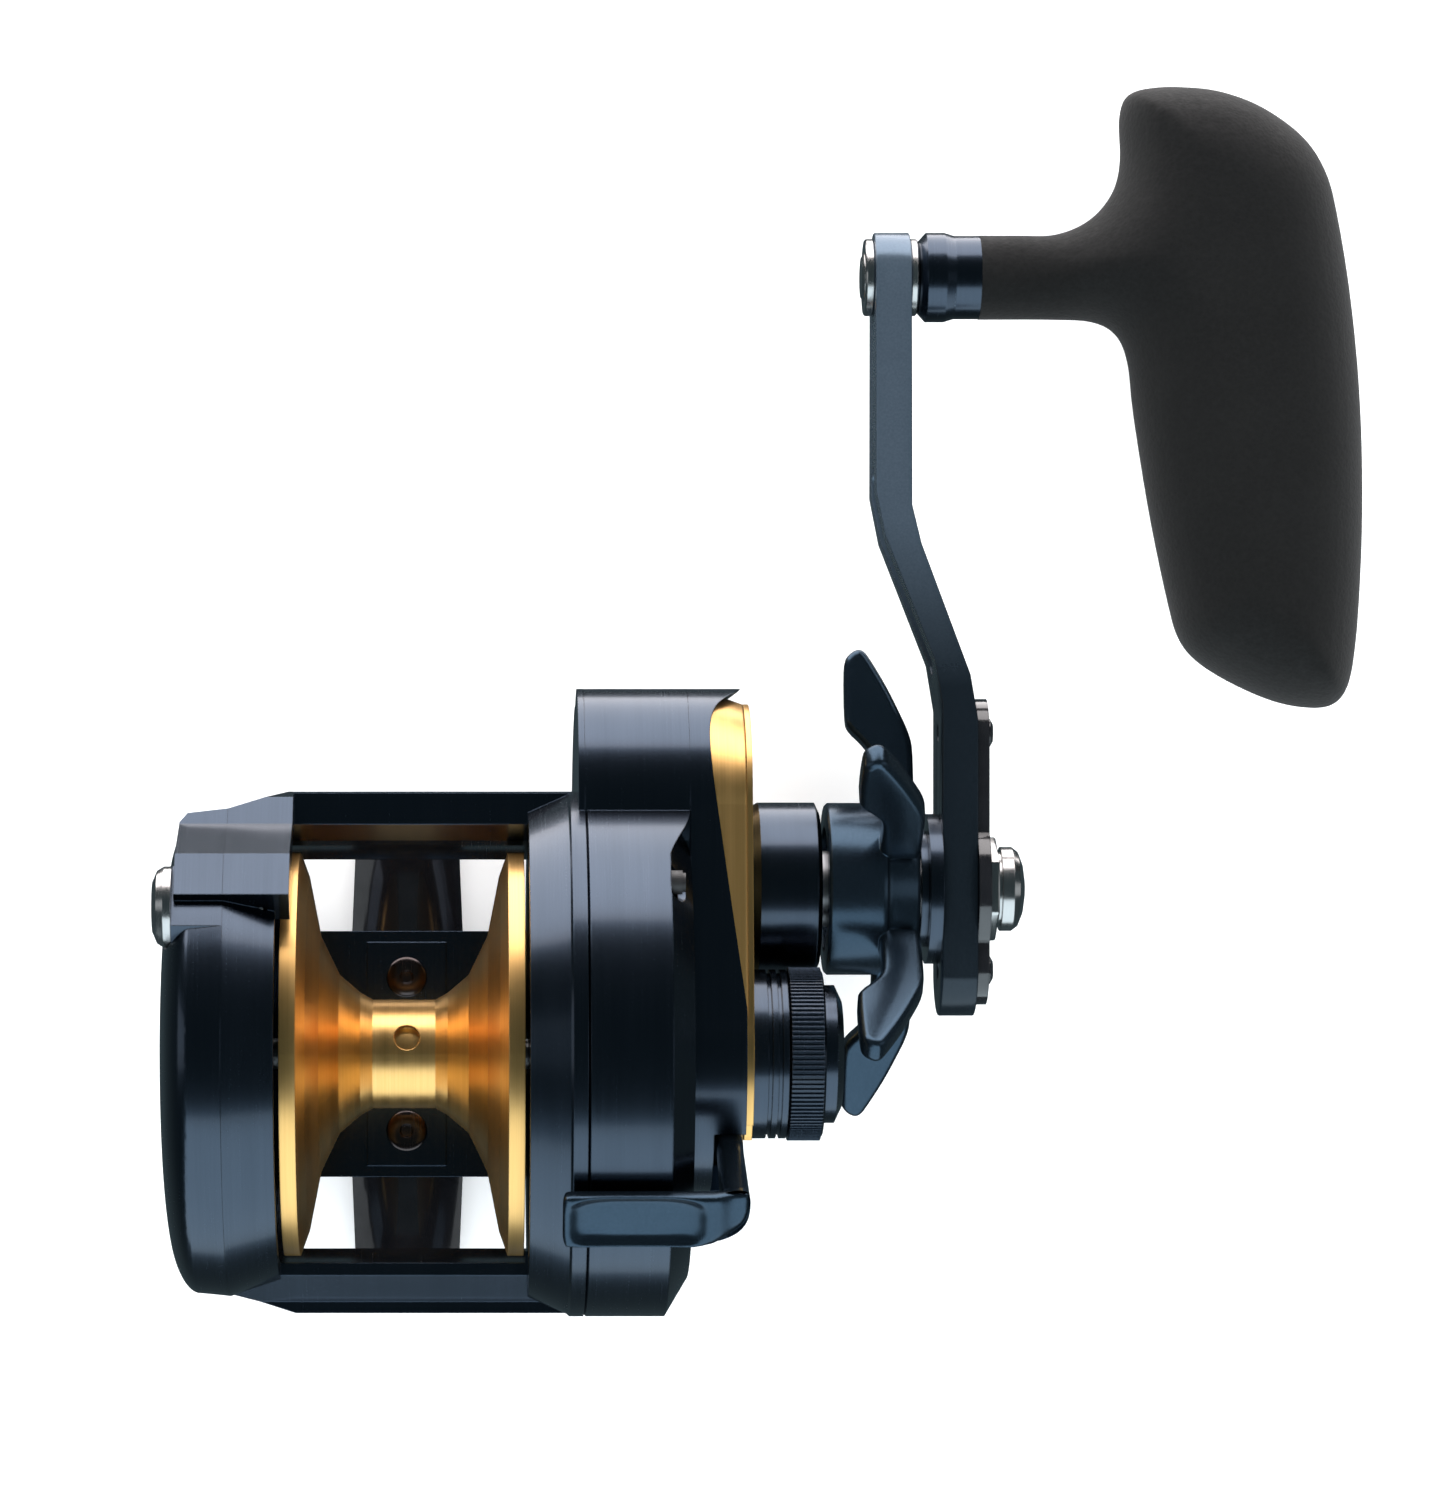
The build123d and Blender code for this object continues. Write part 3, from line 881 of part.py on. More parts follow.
with BuildPart() as nut_retainer:
    with BuildSketch(side(ARM_HUB_RIGHT, DRIVE_AXIS)) as strip:
        with Locations((4.85, 0)):
            SlotOverall(40.0, 11.0)
        Circle(9.0)
        RegularPolygon(HANDLE_NUT_R + 0.1, 6, mode=Mode.SUBTRACT)
        with Locations((20.4, 0), (-10.6, 0)):
            Circle(1.1, mode=Mode.SUBTRACT)
    extrude(strip.sketch, amount=PLATE_THICKNESS)
save(nut_retainer, "nut_retainer")

with BuildPart() as retainer_screws:
    for reach in (20.4, -10.6):
        place = (DRIVE_AXIS[0] + reach, DRIVE_AXIS[1])
        face = ARM_HUB_RIGHT + PLATE_THICKNESS
        turned([(ARM_HUB_LEFT + 0.5, 0), (ARM_HUB_LEFT + 0.5, 1.1 - FIT), (face, 1.1 - FIT), (face, 2.0),
                (face + 0.5, 1.9), (face + 0.9, 1.2), (face + 1.0, 0)], place)
        plate(face + 0.5, face + 2, [(-3, -0.25), (3, -0.25), (3, 0.25), (-3, 0.25)], place, Mode.SUBTRACT)
save(retainer_screws, "retainer_screws")

with BuildPart() as handle_cap:
    cap = NUT_RIGHT
    turned([(cap, 0), (cap, 4.9), (cap + 0.5, 4.9), (cap + 0.5, 5.5), (cap + 2.0, 5.5),
            (cap + 2.8, 4.9), (cap + 3.4, 3.4), (cap + 3.7, 1.6), (cap + 3.75, 0)], DRIVE_AXIS)
    tube(NUT_RIGHT - 5.5, NUT_RIGHT, 0, 1.5 - FIT, DRIVE_AXIS)
save(handle_cap, "handle_cap")

# ---------------------------------------------------------------- knob
GRIP_REACH = 50.4
GRIP_TOP = 25.0             # grip's upper and lower ends, from the knob's axis
GRIP_BOTTOM = 56.6
POST_END = GRIP_LEFT + 24.0
with BuildPart() as knob_post:
    tube(ARM_TIP_LEFT - 0.4, POST_END, 0, KNOB_POST_R - FIT, KNOB_AXIS)
save(knob_post, "knob_post")

with BuildPart() as knob_rivet:
    left = ARM_TIP_LEFT - 1.8
    turned([(left, 0), (left + 0.2, 2.6), (left + 0.6, 3.2), (ARM_TIP_LEFT - 1.2, 3.2),
            (ARM_TIP_LEFT - 1.2, KNOB_POST_R), (ARM_TIP_LEFT - 0.4, KNOB_POST_R), (ARM_TIP_LEFT - 0.4, 0)],
           KNOB_AXIS)
save(knob_rivet, "knob_rivet")

for name, left, right in (("knob_washer_inner", ARM_TIP_LEFT - 1.2, ARM_TIP_LEFT),
                          ("knob_washer_outer", ARM_TIP_RIGHT, SLEEVE_LEFT - 0.05)):
    with BuildPart() as washer:
        turned([(left, KNOB_POST_R), (left, 4.8), (left + 0.2, 5.0), (right - 0.2, 5.0), (right, 4.8),
                (right, KNOB_POST_R)], KNOB_AXIS)
    save(washer, name)

with BuildPart() as knob_sleeve:
    s = SLEEVE_LEFT
    turned([(s, 3.2), (s, 4.6), (s + 1.1, 5.8), (s + 3.5, 5.8), (s + 4.8, 5.4), (GRIP_LEFT, 5.4),
            (GRIP_LEFT, 4.4), (GRIP_LEFT + 8, 4.4), (GRIP_LEFT + 8, 3.2)], KNOB_AXIS)
save(knob_sleeve, "knob_sleeve")

with BuildPart() as knob_bushings:
    for left in (SLEEVE_LEFT + 0.4, GRIP_LEFT + 4.4):
        tube(left, left + 3.0, KNOB_POST_R + FIT, 3.2, KNOB_AXIS)
save(knob_bushings, "knob_bushings")

with BuildPart() as t_grip:
    g = GRIP_LEFT
    y0 = KNOB_AXIS[0]
    with BuildSketch(Plane.XY.offset(KNOB_AXIS[1] - GRIP_DEPTH / 2)):
        with BuildLine():
            corners = [(0, 5.5), (18.3, 5.5), (18.3, GRIP_TOP), (36.0, GRIP_TOP), (47.5, 12.0),
                       (GRIP_REACH, -22.0), (49.2, -GRIP_BOTTOM), (41.5, -GRIP_BOTTOM), (25.8, -47.5),
                       (19.6, -5.5), (0, -5.5)]
            rounding = [6.5, 5.5, 16.0, 22.0, 60.0, 4.0, 9.0, 6.0, 4.5]
            body = FilletPolyline(*[(g + x, y0 + y) for x, y in corners], radius=rounding)
            Line(body @ 1, body @ 0)
        make_face()
    extrude(amount=GRIP_DEPTH)
    # Rounded across its depth in both directions.
    with BuildSketch(Plane.XZ.offset(-(y0 + GRIP_TOP))):
        with Locations((g + GRIP_REACH / 2, KNOB_AXIS[1])):
            RectangleRounded(GRIP_REACH, GRIP_DEPTH, GRIP_EDGE)
    extrude(amount=GRIP_TOP + GRIP_BOTTOM, mode=Mode.INTERSECT)
    with BuildSketch(side(g - 1, KNOB_AXIS)):
        with Locations(((GRIP_TOP - GRIP_BOTTOM) / 2, 0)):
            RectangleRounded(GRIP_TOP + GRIP_BOTTOM, GRIP_DEPTH, GRIP_EDGE)
    extrude(amount=GRIP_REACH + 2, mode=Mode.INTERSECT)
    turned([(g - 1, 5.6), (g - 1, FAR), (g + 12.5, FAR), (g + 12.5, 9.0), (g + 8, 5.6)], KNOB_AXIS,
           Mode.SUBTRACT)
    tube(g - 1, g + 8, 0, 4.4, KNOB_AXIS, Mode.SUBTRACT)
    tube(g + 7, POST_END + 0.6, 0, 3.3, KNOB_AXIS, Mode.SUBTRACT)
save(t_grip, "t_grip")

# ---------------------------------------------------------------- cast control
with BuildPart() as cast_control_knob:
    turned([(BOSS_RIGHT + 0.1, BOSS_R - 2.1), (BOSS_RIGHT + 0.1, TENSION_R - 0.2),
            (BOSS_RIGHT + 0.3, TENSION_R), (TENSION_RIGHT - 0.3, TENSION_R),
            (TENSION_RIGHT, TENSION_R - 0.4), (TENSION_RIGHT, 8.9),
            (TENSION_RIGHT, 6.0), (TENSION_RIGHT - 1.2, 6.0), (TENSION_RIGHT - 1.2, BOSS_R - 2.1)])
save(cast_control_knob, "cast_control_knob")

with BuildPart() as cast_control_cap:
    turned([(TENSION_RIGHT - 1.0, 0), (TENSION_RIGHT - 1.0, 6.0 - FIT), (TENSION_RIGHT, 6.0 - FIT),
            (TENSION_RIGHT, 8.9), (CAP_RIGHT - 0.9, 8.9), (CAP_RIGHT, 7.0), (CAP_RIGHT, 0)])
save(cast_control_cap, "cast_control_cap")

with BuildPart() as cast_control_shim:
    tube(BOSS_RIGHT - 1.4, TENSION_RIGHT - 1.1, 0, 3.6)
save(cast_control_shim, "cast_control_shim")
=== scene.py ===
import json
from math import cos, pi, radians, sin, sqrt

import bmesh
import bpy
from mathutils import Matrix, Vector, geometry


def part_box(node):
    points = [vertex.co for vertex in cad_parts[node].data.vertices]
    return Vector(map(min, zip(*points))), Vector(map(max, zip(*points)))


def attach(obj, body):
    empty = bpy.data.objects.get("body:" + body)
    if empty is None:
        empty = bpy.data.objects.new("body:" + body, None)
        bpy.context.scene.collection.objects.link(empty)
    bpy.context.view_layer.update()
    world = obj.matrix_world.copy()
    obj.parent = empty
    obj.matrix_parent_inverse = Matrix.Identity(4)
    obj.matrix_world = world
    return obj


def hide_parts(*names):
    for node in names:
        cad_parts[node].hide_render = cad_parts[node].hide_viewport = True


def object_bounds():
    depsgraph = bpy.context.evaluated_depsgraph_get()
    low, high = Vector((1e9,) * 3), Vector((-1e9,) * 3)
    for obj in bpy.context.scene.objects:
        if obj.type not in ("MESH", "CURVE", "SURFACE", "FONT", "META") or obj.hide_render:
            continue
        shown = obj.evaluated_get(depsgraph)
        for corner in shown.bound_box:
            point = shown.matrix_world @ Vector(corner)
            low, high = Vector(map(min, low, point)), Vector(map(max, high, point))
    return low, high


MM = 0.001

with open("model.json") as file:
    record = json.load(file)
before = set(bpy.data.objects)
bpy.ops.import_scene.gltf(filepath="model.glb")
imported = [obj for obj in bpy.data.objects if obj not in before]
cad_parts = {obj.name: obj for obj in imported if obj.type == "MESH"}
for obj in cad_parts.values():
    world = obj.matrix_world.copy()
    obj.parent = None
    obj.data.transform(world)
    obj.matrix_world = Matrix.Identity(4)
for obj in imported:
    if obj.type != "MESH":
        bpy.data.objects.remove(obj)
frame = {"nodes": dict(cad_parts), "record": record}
cad_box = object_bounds()
nodes = frame["nodes"]
scene = bpy.context.scene


def middle(node):
    """Centre of a CAD node's box."""
    low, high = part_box(node)
    return (low + high) / 2


SPOOL = middle("spool_shaft")       # the spool's axis, in Y and Z
DRIVE = middle("handle_spacer")     # the drive shaft's axis
KNOB = middle("knob_rivet")         # the knob's axis


# ---------------------------------------------------------------- camera
CAMERA_X = 0.00783
CAMERA_HEIGHT = 0.6706              # above the spool's axis
CAMERA_LENS = 124.63
CAMERA_SHIFT = (0.1714, 0.2017)     # the handle reaches far to the right and front of the spool

camera_data = bpy.data.cameras.new("reel_camera")
camera = bpy.data.objects.new("reel_camera", camera_data)
scene.collection.objects.link(camera)
camera.location = (CAMERA_X, SPOOL.y, SPOOL.z + CAMERA_HEIGHT)
camera_data.lens = CAMERA_LENS
camera_data.shift_x, camera_data.shift_y = CAMERA_SHIFT
camera_data.clip_start = 0.01
camera_data.clip_end = 20
scene.camera = camera


# ---------------------------------------------------------------- light
def softbox(name, centre, aim, width, height, power, colour, glossy=True):
    """A rectangular area light that looks at a point."""
    data = bpy.data.lights.new(name, "AREA")
    data.shape = "RECTANGLE"
    data.size = width
    data.size_y = height
    data.energy = power
    data.color = colour
    light = bpy.data.objects.new(name, data)
    scene.collection.objects.link(light)
    light.location = centre
    light.rotation_euler = (Vector(aim) - Vector(centre)).to_track_quat("-Z", "Y").to_euler()
    light.visible_glossy = glossy


TARGET = (0.03, 0.03, 0.04)         # the middle of the reel
FRONT_TARGET = (0.02, 0.03, 0.04)
WARM_WHITE = (1.0, 0.95, 0.95)
SKY_BLUE = (0.78, 0.92, 1.0)
COOL_WHITE = (0.92, 0.96, 1.0)
WHITE = (1.0, 1.0, 1.0)
WORLD_COLOUR = (0.60, 0.88, 1.0, 1)
WORLD_STRENGTH = 0.08

# each light's place, aim, width, height, power in watts and colour
softbox("front_softbox", (0.02, 0.95, -0.04), FRONT_TARGET, 2.2, 1.39, 43, WARM_WHITE)
softbox("rear_softbox", (0.0, -0.85, 0.36), TARGET, 1.7, 1.5, 16.5, SKY_BLUE)
softbox("handle_side_strip", (1.1, 0.0, 0.45), TARGET, 0.4, 1.0, 0.8, COOL_WHITE)
softbox("left_side_strip", (-1.1, 0.1, 0.45), TARGET, 0.4, 1.0, 0.8, COOL_WHITE)
softbox("overhead_fill", (0.05, 0.0, 1.6), TARGET, 2.4, 2.4, 48, WHITE, glossy=False)

world = bpy.data.worlds.new("studio")
scene.world = world
world.use_nodes = True
background = world.node_tree.nodes["Background"]
background.inputs["Color"].default_value = WORLD_COLOUR
background.inputs["Strength"].default_value = WORLD_STRENGTH
scene.view_settings.view_transform = "Standard"


# ---------------------------------------------------------------- shader values
class Wire:
    """A shader value. Arithmetic on it adds the Math nodes that work it out."""

    def __init__(self, finish, socket):
        self.finish = finish
        self.socket = socket

    def maths(self, operation, *values):
        return self.finish.node("ShaderNodeMath", {"operation": operation}, dict(enumerate(values)))

    def __add__(self, other):
        return self.maths("ADD", self, other)

    def __mul__(self, other):
        return self.maths("MULTIPLY", self, other)


class Finish:
    """One procedural material, its Principled shader and the nodes that feed it."""

    def __init__(self, name, constants):
        self.material = bpy.data.materials.new(name)
        self.material.use_nodes = True
        self.tree = self.material.node_tree
        self.shader = self.tree.nodes["Principled BSDF"]
        for socket, value in constants.items():
            self.shader.inputs[socket].default_value = value
        self.place = self.node("ShaderNodeTexCoord", out="Object")

    def node(self, kind, settings=None, inputs=None, out=0):
        """Add any node: its settings first, then the values or links of its sockets."""
        made = self.tree.nodes.new(kind)
        for key, value in (settings or {}).items():
            setattr(made, key, value)
        for key, value in (inputs or {}).items():
            if isinstance(value, Wire):
                self.tree.links.new(value.socket, made.inputs[key])
            else:
                made.inputs[key].default_value = value
        return Wire(self, made.outputs[out])

    def feed(self, socket, wire):
        self.tree.links.new(wire.socket, self.shader.inputs[socket])

    def stretched(self, scale, about=(0, 0, 0)):
        """Object coordinates about a point, scaled along each axis."""
        moved = self.node("ShaderNodeVectorMath", {"operation": "SUBTRACT"}, {0: self.place, 1: about})
        return self.node("ShaderNodeVectorMath", {"operation": "MULTIPLY"}, {0: moved, 1: scale})

    def noise(self, vector, scale=1.0, detail=2.0, rough=0.5):
        return self.node("ShaderNodeTexNoise", None,
                         {"Vector": vector, "Scale": scale, "Detail": detail, "Roughness": rough})

    def between(self, value, low, high, start, end):
        """A value's range low to high carried over to start to end, and held there."""
        return self.node("ShaderNodeMapRange", None, {0: value, 1: low, 2: high, 3: start, 4: end})

    def tint(self, factor, one, other):
        return self.node("ShaderNodeMix", {"data_type": "RGBA"}, {0: factor, 6: one, 7: other}, out=2)

    def soft_edges(self, radius):
        """Normals eased over sharp edges."""
        return self.node("ShaderNodeBevel", {"samples": 4}, {"Radius": radius})

    def bump(self, height, distance, strength, normal=None):
        inputs = {"Height": height, "Distance": distance, "Strength": strength}
        if normal is not None:
            inputs["Normal"] = normal
        return self.node("ShaderNodeBump", None, inputs)


def rgb(red, green, blue):
    return (red, green, blue, 1.0)


TOOL_MARK = 0.00002                 # height of the marks a cutting tool leaves
ARM_PAINTED_LIGHT_FROM = 0.026              # how far out from the drive axis the painted light on the arm starts
PAINTED_SHADE_RUN = 0.022                   # length over which the arm's painted shade turns into painted light


def blue_anodise(name, about):
    """Deep blue anodised aluminium: tool lines round the X axis over a fine blasted grain."""
    made = Finish(name, {"Metallic": 1.0, "Coat Weight": 0.25, "Coat Roughness": 0.12})
    lines = made.noise(made.stretched((5200, 60, 60), about), detail=3.0, rough=0.65)
    bands = made.noise(made.stretched((700, 9, 9), about), detail=2.0)
    grit = made.noise(made.stretched((5200, 5200, 5200), about), detail=1.0)
    cloud = made.noise(made.stretched((55, 55, 55), about), detail=3.0)
    shade = made.between(lines * 0.5 + cloud * 0.4 + bands * 0.3, 0.35, 0.95, 0.0, 1.0)
    made.feed("Base Color", made.tint(shade, rgb(0.032, 0.044, 0.062), rgb(0.047, 0.062, 0.086)))
    rough = made.between(lines * 0.6 + grit * 0.4, 0.25, 0.75, 0.20, 0.27)
    made.feed("Roughness", rough + cloud * 0.03)
    height = lines * 0.6 + grit * 0.4 + bands * 0.3
    made.feed("Normal", made.bump(height, TOOL_MARK, 0.22, made.soft_edges(0.2 * MM)))
    return made.material


def satin_anodise(name, about, painted_light_from=None):
    """Blasted blue anodising, softer than the turned pieces; it can carry painted shade that turns into
    painted light along Y past a point.
    """
    plain = painted_light_from is None
    made = Finish(name, {"Metallic": 0.92 if plain else 0.6})
    grit = made.noise(made.stretched((3400, 3400, 3400), about), detail=2.0)
    cloud = made.noise(made.stretched((60, 60, 60), about), detail=3.0)
    shade = made.between(grit * 0.5 + cloud * 0.5, 0.35, 0.65, 0.0, 1.0)
    colour = made.tint(shade, rgb(0.026, 0.044, 0.064), rgb(0.036, 0.058, 0.084))
    if not plain:
        # Painted light and shade: a darker copy of the colour stands in for shade near the drive axis, a
        # lighter copy for light farther out along Y.
        along = made.node("ShaderNodeSeparateXYZ", None, {0: made.place}, out=1)
        painted_lit = made.tint(shade, rgb(0.074, 0.104, 0.140), rgb(0.094, 0.130, 0.172))
        deep = made.tint(shade, rgb(0.008, 0.014, 0.020), rgb(0.012, 0.019, 0.027))
        colour = made.tint(made.between(along, painted_light_from, painted_light_from + PAINTED_SHADE_RUN, 0.0, 1.0), deep, painted_lit)
    made.feed("Base Color", colour)
    made.feed("Roughness", made.between(grit, 0.3, 0.7, 0.22, 0.27))
    made.feed("Normal", made.bump(grit, 0.00003, 0.25, made.soft_edges(0.3 * MM)))
    return made.material


def gold_anodise(name, about):
    """Gold anodised aluminium, turned about the spool's axis."""
    made = Finish(name, {"Metallic": 1.0})
    lines = made.noise(made.stretched((6400, 45, 45), about), detail=3.0, rough=0.6)
    wide = made.noise(made.stretched((900, 14, 14), about), detail=2.0)
    shade = made.between(lines * 0.7 + wide * 0.3, 0.3, 0.7, 0.0, 1.0)
    made.feed("Base Color", made.tint(shade, rgb(0.70, 0.405, 0.135), rgb(0.80, 0.485, 0.180)))
    made.feed("Roughness", made.between(wide, 0.3, 0.7, 0.31, 0.37))
    made.feed("Normal", made.bump(lines, TOOL_MARK, 0.15, made.soft_edges(0.2 * MM)))
    return made.material


def gloss_black(name):
    """Hard black coating with a deep clear gloss and a faint ripple."""
    made = Finish(name, {"Metallic": 0.0, "Coat Roughness": 0.06, "IOR": 1.5})
    ripple = made.noise(made.stretched((300, 300, 300)), detail=2.0)
    dust = made.noise(made.stretched((2600, 2600, 2600)), detail=1.0)
    made.feed("Base Color", made.tint(ripple, rgb(0.004, 0.004, 0.005), rgb(0.010, 0.010, 0.012)))
    made.feed("Roughness", made.between(dust, 0.35, 0.75, 0.12, 0.2))
    made.feed("Coat Weight", made.between(ripple, 0.2, 0.8, 0.5, 0.8))
    made.feed("Normal", made.bump(ripple * 0.7 + dust * 0.1, 0.00004, 0.25, made.soft_edges(0.3 * MM)))
    return made.material


def bare_steel(name, colour, low, high, about):
    """Bare metal with tool lines, polished or dull by its range of roughness."""
    made = Finish(name, {"Metallic": 1.0})
    lines = made.noise(made.stretched((3800, 90, 90), about), detail=3.0, rough=0.6)
    cloud = made.noise(made.stretched((240, 240, 240), about), detail=3.0)
    darker = tuple(0.72 * part for part in colour)
    made.feed("Base Color", made.tint(lines * 0.6 + cloud * 0.4, rgb(*darker), rgb(*colour)))
    made.feed("Roughness", made.between(lines * 0.5 + cloud * 0.5, 0.3, 0.7, low, high))
    made.feed("Normal", made.bump(lines, TOOL_MARK, 0.3, made.soft_edges(0.15 * MM)))
    return made.material


def moulded(name, colour, low, high, size):
    """Moulded or pressed material with a fine skin texture."""
    made = Finish(name, {})
    skin = made.noise(made.stretched((size, size, size)), detail=3.0)
    cloud = made.noise(made.stretched((120, 120, 120)), detail=2.0)
    darker = tuple(0.6 * part for part in colour)
    made.feed("Base Color", made.tint(skin * 0.6 + cloud * 0.4, rgb(*darker), rgb(*colour)))
    made.feed("Roughness", made.between(skin, 0.3, 0.7, low, high))
    made.feed("Normal", made.bump(skin, 0.00006, 0.4))
    return made.material


def grip_foam(name):
    """Charcoal closed-cell foam: fine pores, soft broad mottling and a dull skin."""
    made = Finish(name, {"Specular IOR Level": 0.18, "Sheen Weight": 0.06, "Sheen Roughness": 0.6})
    cells = made.node("ShaderNodeTexVoronoi", {"feature": "F1"},
                      {"Vector": made.stretched((1900, 1900, 1900)), "Scale": 1.0})
    skin = made.noise(made.stretched((900, 900, 900)), detail=4.0, rough=0.7)
    mottle = made.noise(made.stretched((90, 90, 90)), detail=2.0)
    shade = made.between(skin * 0.5 + mottle * 0.3 + cells * 0.3, 0.3, 0.8, 0.0, 1.0)
    made.feed("Base Color", made.tint(shade, rgb(0.0024, 0.0025, 0.0025), rgb(0.0058, 0.0060, 0.0060)))
    made.feed("Roughness", made.between(skin, 0.3, 0.7, 0.72, 0.95))
    made.feed("Normal", made.bump(cells * 0.7 + skin * 0.5, 0.00012, 0.35))
    return made.material


def woven_carbon(name, about):
    """Carbon-fibre drag washer: a fine two-way weave."""
    made = Finish(name, {})
    weave = made.node("ShaderNodeTexChecker", None,
                      {"Vector": made.stretched((1600, 1600, 1600), about), "Scale": 1.0}, out=1)
    thread = made.noise(made.stretched((900, 6000, 6000), about), detail=2.0)
    made.feed("Base Color", made.tint(weave * 0.6 + thread * 0.4, rgb(0.015, 0.015, 0.017),
                                      rgb(0.05, 0.05, 0.055)))
    made.feed("Roughness", made.between(thread, 0.3, 0.7, 0.35, 0.6))
    made.feed("Normal", made.bump(weave * 0.5 + thread * 0.4, 0.00003, 0.4))
    return made.material


FINISHES = {
    "navy": blue_anodise("navy_turned", SPOOL),
    "navy_drive": blue_anodise("navy_turned_drive", DRIVE),
    "navy_satin": satin_anodise("navy_satin", DRIVE),
    # the handle arm's finish, with painted shade near the drive and painted light farther out
    "arm_satin": satin_anodise("arm_satin", DRIVE, painted_light_from=DRIVE.y + ARM_PAINTED_LIGHT_FROM),
    "black_plate": gloss_black("gloss_black_coat"),
    "gold": gold_anodise("gold_turned", SPOOL),
    "steel": bare_steel("polished_steel", (0.50, 0.49, 0.48), 0.16, 0.28, DRIVE),
    "screw_black": bare_steel("blackened_screw", (0.075, 0.062, 0.060), 0.16, 0.30, SPOOL),
    "steel_dull": bare_steel("ground_steel", (0.62, 0.63, 0.65), 0.28, 0.45, SPOOL),
    "brass": bare_steel("cut_brass", (0.78, 0.56, 0.25), 0.22, 0.38, SPOOL),
    "carbon": woven_carbon("woven_carbon", DRIVE),
    "plastic": moulded("dark_moulding", (0.012, 0.012, 0.013), 0.4, 0.6, 1500),
    "foam": grip_foam("grip_foam"),
}
DRIVE_PARTS = ("drive_collar", "knob_sleeve")
BLACK_PARTS = ("cover_screws",)

slot_of = {part["node"]: part["material_slot"] for part in frame["record"]["subparts"]}
for name, obj in nodes.items():
    chosen = slot_of[name]
    if name in DRIVE_PARTS:
        chosen = "navy_drive"
    if name in BLACK_PARTS:
        chosen = "screw_black"
    obj.data.materials.clear()
    obj.data.materials.append(FINISHES[chosen])


# ---------------------------------------------------------------- making pieces
def bare(name, mesh):
    """An object for a finished mesh, at the origin."""
    made = bpy.data.objects.new(name, mesh)
    scene.collection.objects.link(made)
    return made


def smoothed(mesh, angle):
    """Smooth shading that keeps edges sharper than an angle."""
    mesh.polygons.foreach_set("use_smooth", [True] * len(mesh.polygons))
    mesh.set_sharp_from_angle(angle=radians(angle))
    return mesh


def tidied(mesh):
    """Merge doubles, then turn the faces outward."""
    shell = bmesh.new()
    shell.from_mesh(mesh)
    bmesh.ops.remove_doubles(shell, verts=shell.verts, dist=1e-6)
    bmesh.ops.recalc_face_normals(shell, faces=shell.faces)
    shell.to_mesh(mesh)
    shell.free()
    return mesh


def solid(name, points, faces):
    """A closed mesh from points in millimetres."""
    mesh = bpy.data.meshes.new(name)
    mesh.from_pydata([[part * MM for part in point] for point in points], [], faces)
    return tidied(mesh)


def baked(mesh, steps):
    """A mesh with modifiers run on it: each step is a modifier's type and settings."""
    work = bare("work", mesh)
    for kind, settings in steps:
        modifier = work.modifiers.new(kind, kind)
        for key, value in settings.items():
            setattr(modifier, key, value)
    result = bpy.data.meshes.new_from_object(work.evaluated_get(bpy.context.evaluated_depsgraph_get()))
    bpy.data.objects.remove(work)
    return result


def lathe(name, outline, axis, steps):
    """Turn a closed outline of (x, radius) points in millimetres about a line along X."""
    points = []
    for turn in range(steps):
        angle = 2 * pi * turn / steps
        points += [(x, axis.y / MM + r * cos(angle), axis.z / MM + r * sin(angle)) for x, r in outline]
    count = len(outline)
    faces = []
    for turn in range(steps):
        here, after = turn * count, (turn + 1) % steps * count
        for i in range(count):
            j = (i + 1) % count
            faces.append((here + i, here + j, after + j, after + i))
    return solid(name, points, faces)


def upright(a, b, c):
    """An outline drawn in X and Y, extended along Z."""
    return (a, b, c)


def lengthwise(a, b, c):
    """An outline drawn in Z and Y, extended along X."""
    return (c, b, a)


def prism(name, outline, low, high, place):
    """A closed outline of (a, b) points drawn out from low to high; place gives each corner's x, y, z."""
    count = len(outline)
    points = [place(a, b, low) for a, b in outline] + [place(a, b, high) for a, b in outline]
    faces = [tuple(range(count)), tuple(range(2 * count - 1, count - 1, -1))]
    faces += [(i, (i + 1) % count, count + (i + 1) % count, count + i) for i in range(count)]
    return solid(name, points, faces)


def joined(name, meshes):
    """Several meshes as one."""
    whole = bmesh.new()
    for mesh in meshes:
        whole.from_mesh(mesh)
    result = bpy.data.meshes.new(name)
    whole.to_mesh(result)
    whole.free()
    return result


def cut(mesh, tool):
    """One mesh cut by another."""
    cutter = bare("cutter", tool)
    result = baked(mesh, [("BOOLEAN", {"object": cutter, "operation": "DIFFERENCE", "solver": "EXACT"})])
    bpy.data.objects.remove(cutter)
    return result


def eased(t):
    """Smooth step from 0 to 1."""
    return t * t * (3 - 2 * t)


def through(points, steps):
    """A smooth line through points: a Catmull-Rom curve cut into a number of steps a span."""
    last = len(points) - 1
    line = []
    for i in range(last):
        near = [points[min(max(i + k, 0), last)] for k in range(-1, 3)]
        before, start, end, after = [Vector(point) for point in near]
        bend = 2 * before - 5 * start + 4 * end - after
        twist = 3 * start - before - 3 * end + after
        for k in range(steps):
            t = k / steps
            line.append(0.5 * (2 * start + (end - before) * t + bend * t * t + twist * t * t * t))
    line.append(Vector(points[-1]))
    return line


def install(name, mesh, finish, body, node, edge_angle):
    """Put a finished mesh in the place of a CAD node."""
    mesh.name = name
    mesh.materials.clear()
    mesh.materials.append(FINISHES[finish])
    mesh.polygons.foreach_set("material_index", [0] * len(mesh.polygons))
    made = bare(name, smoothed(mesh, edge_angle))
    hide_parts(node)
    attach(made, body)
    return made


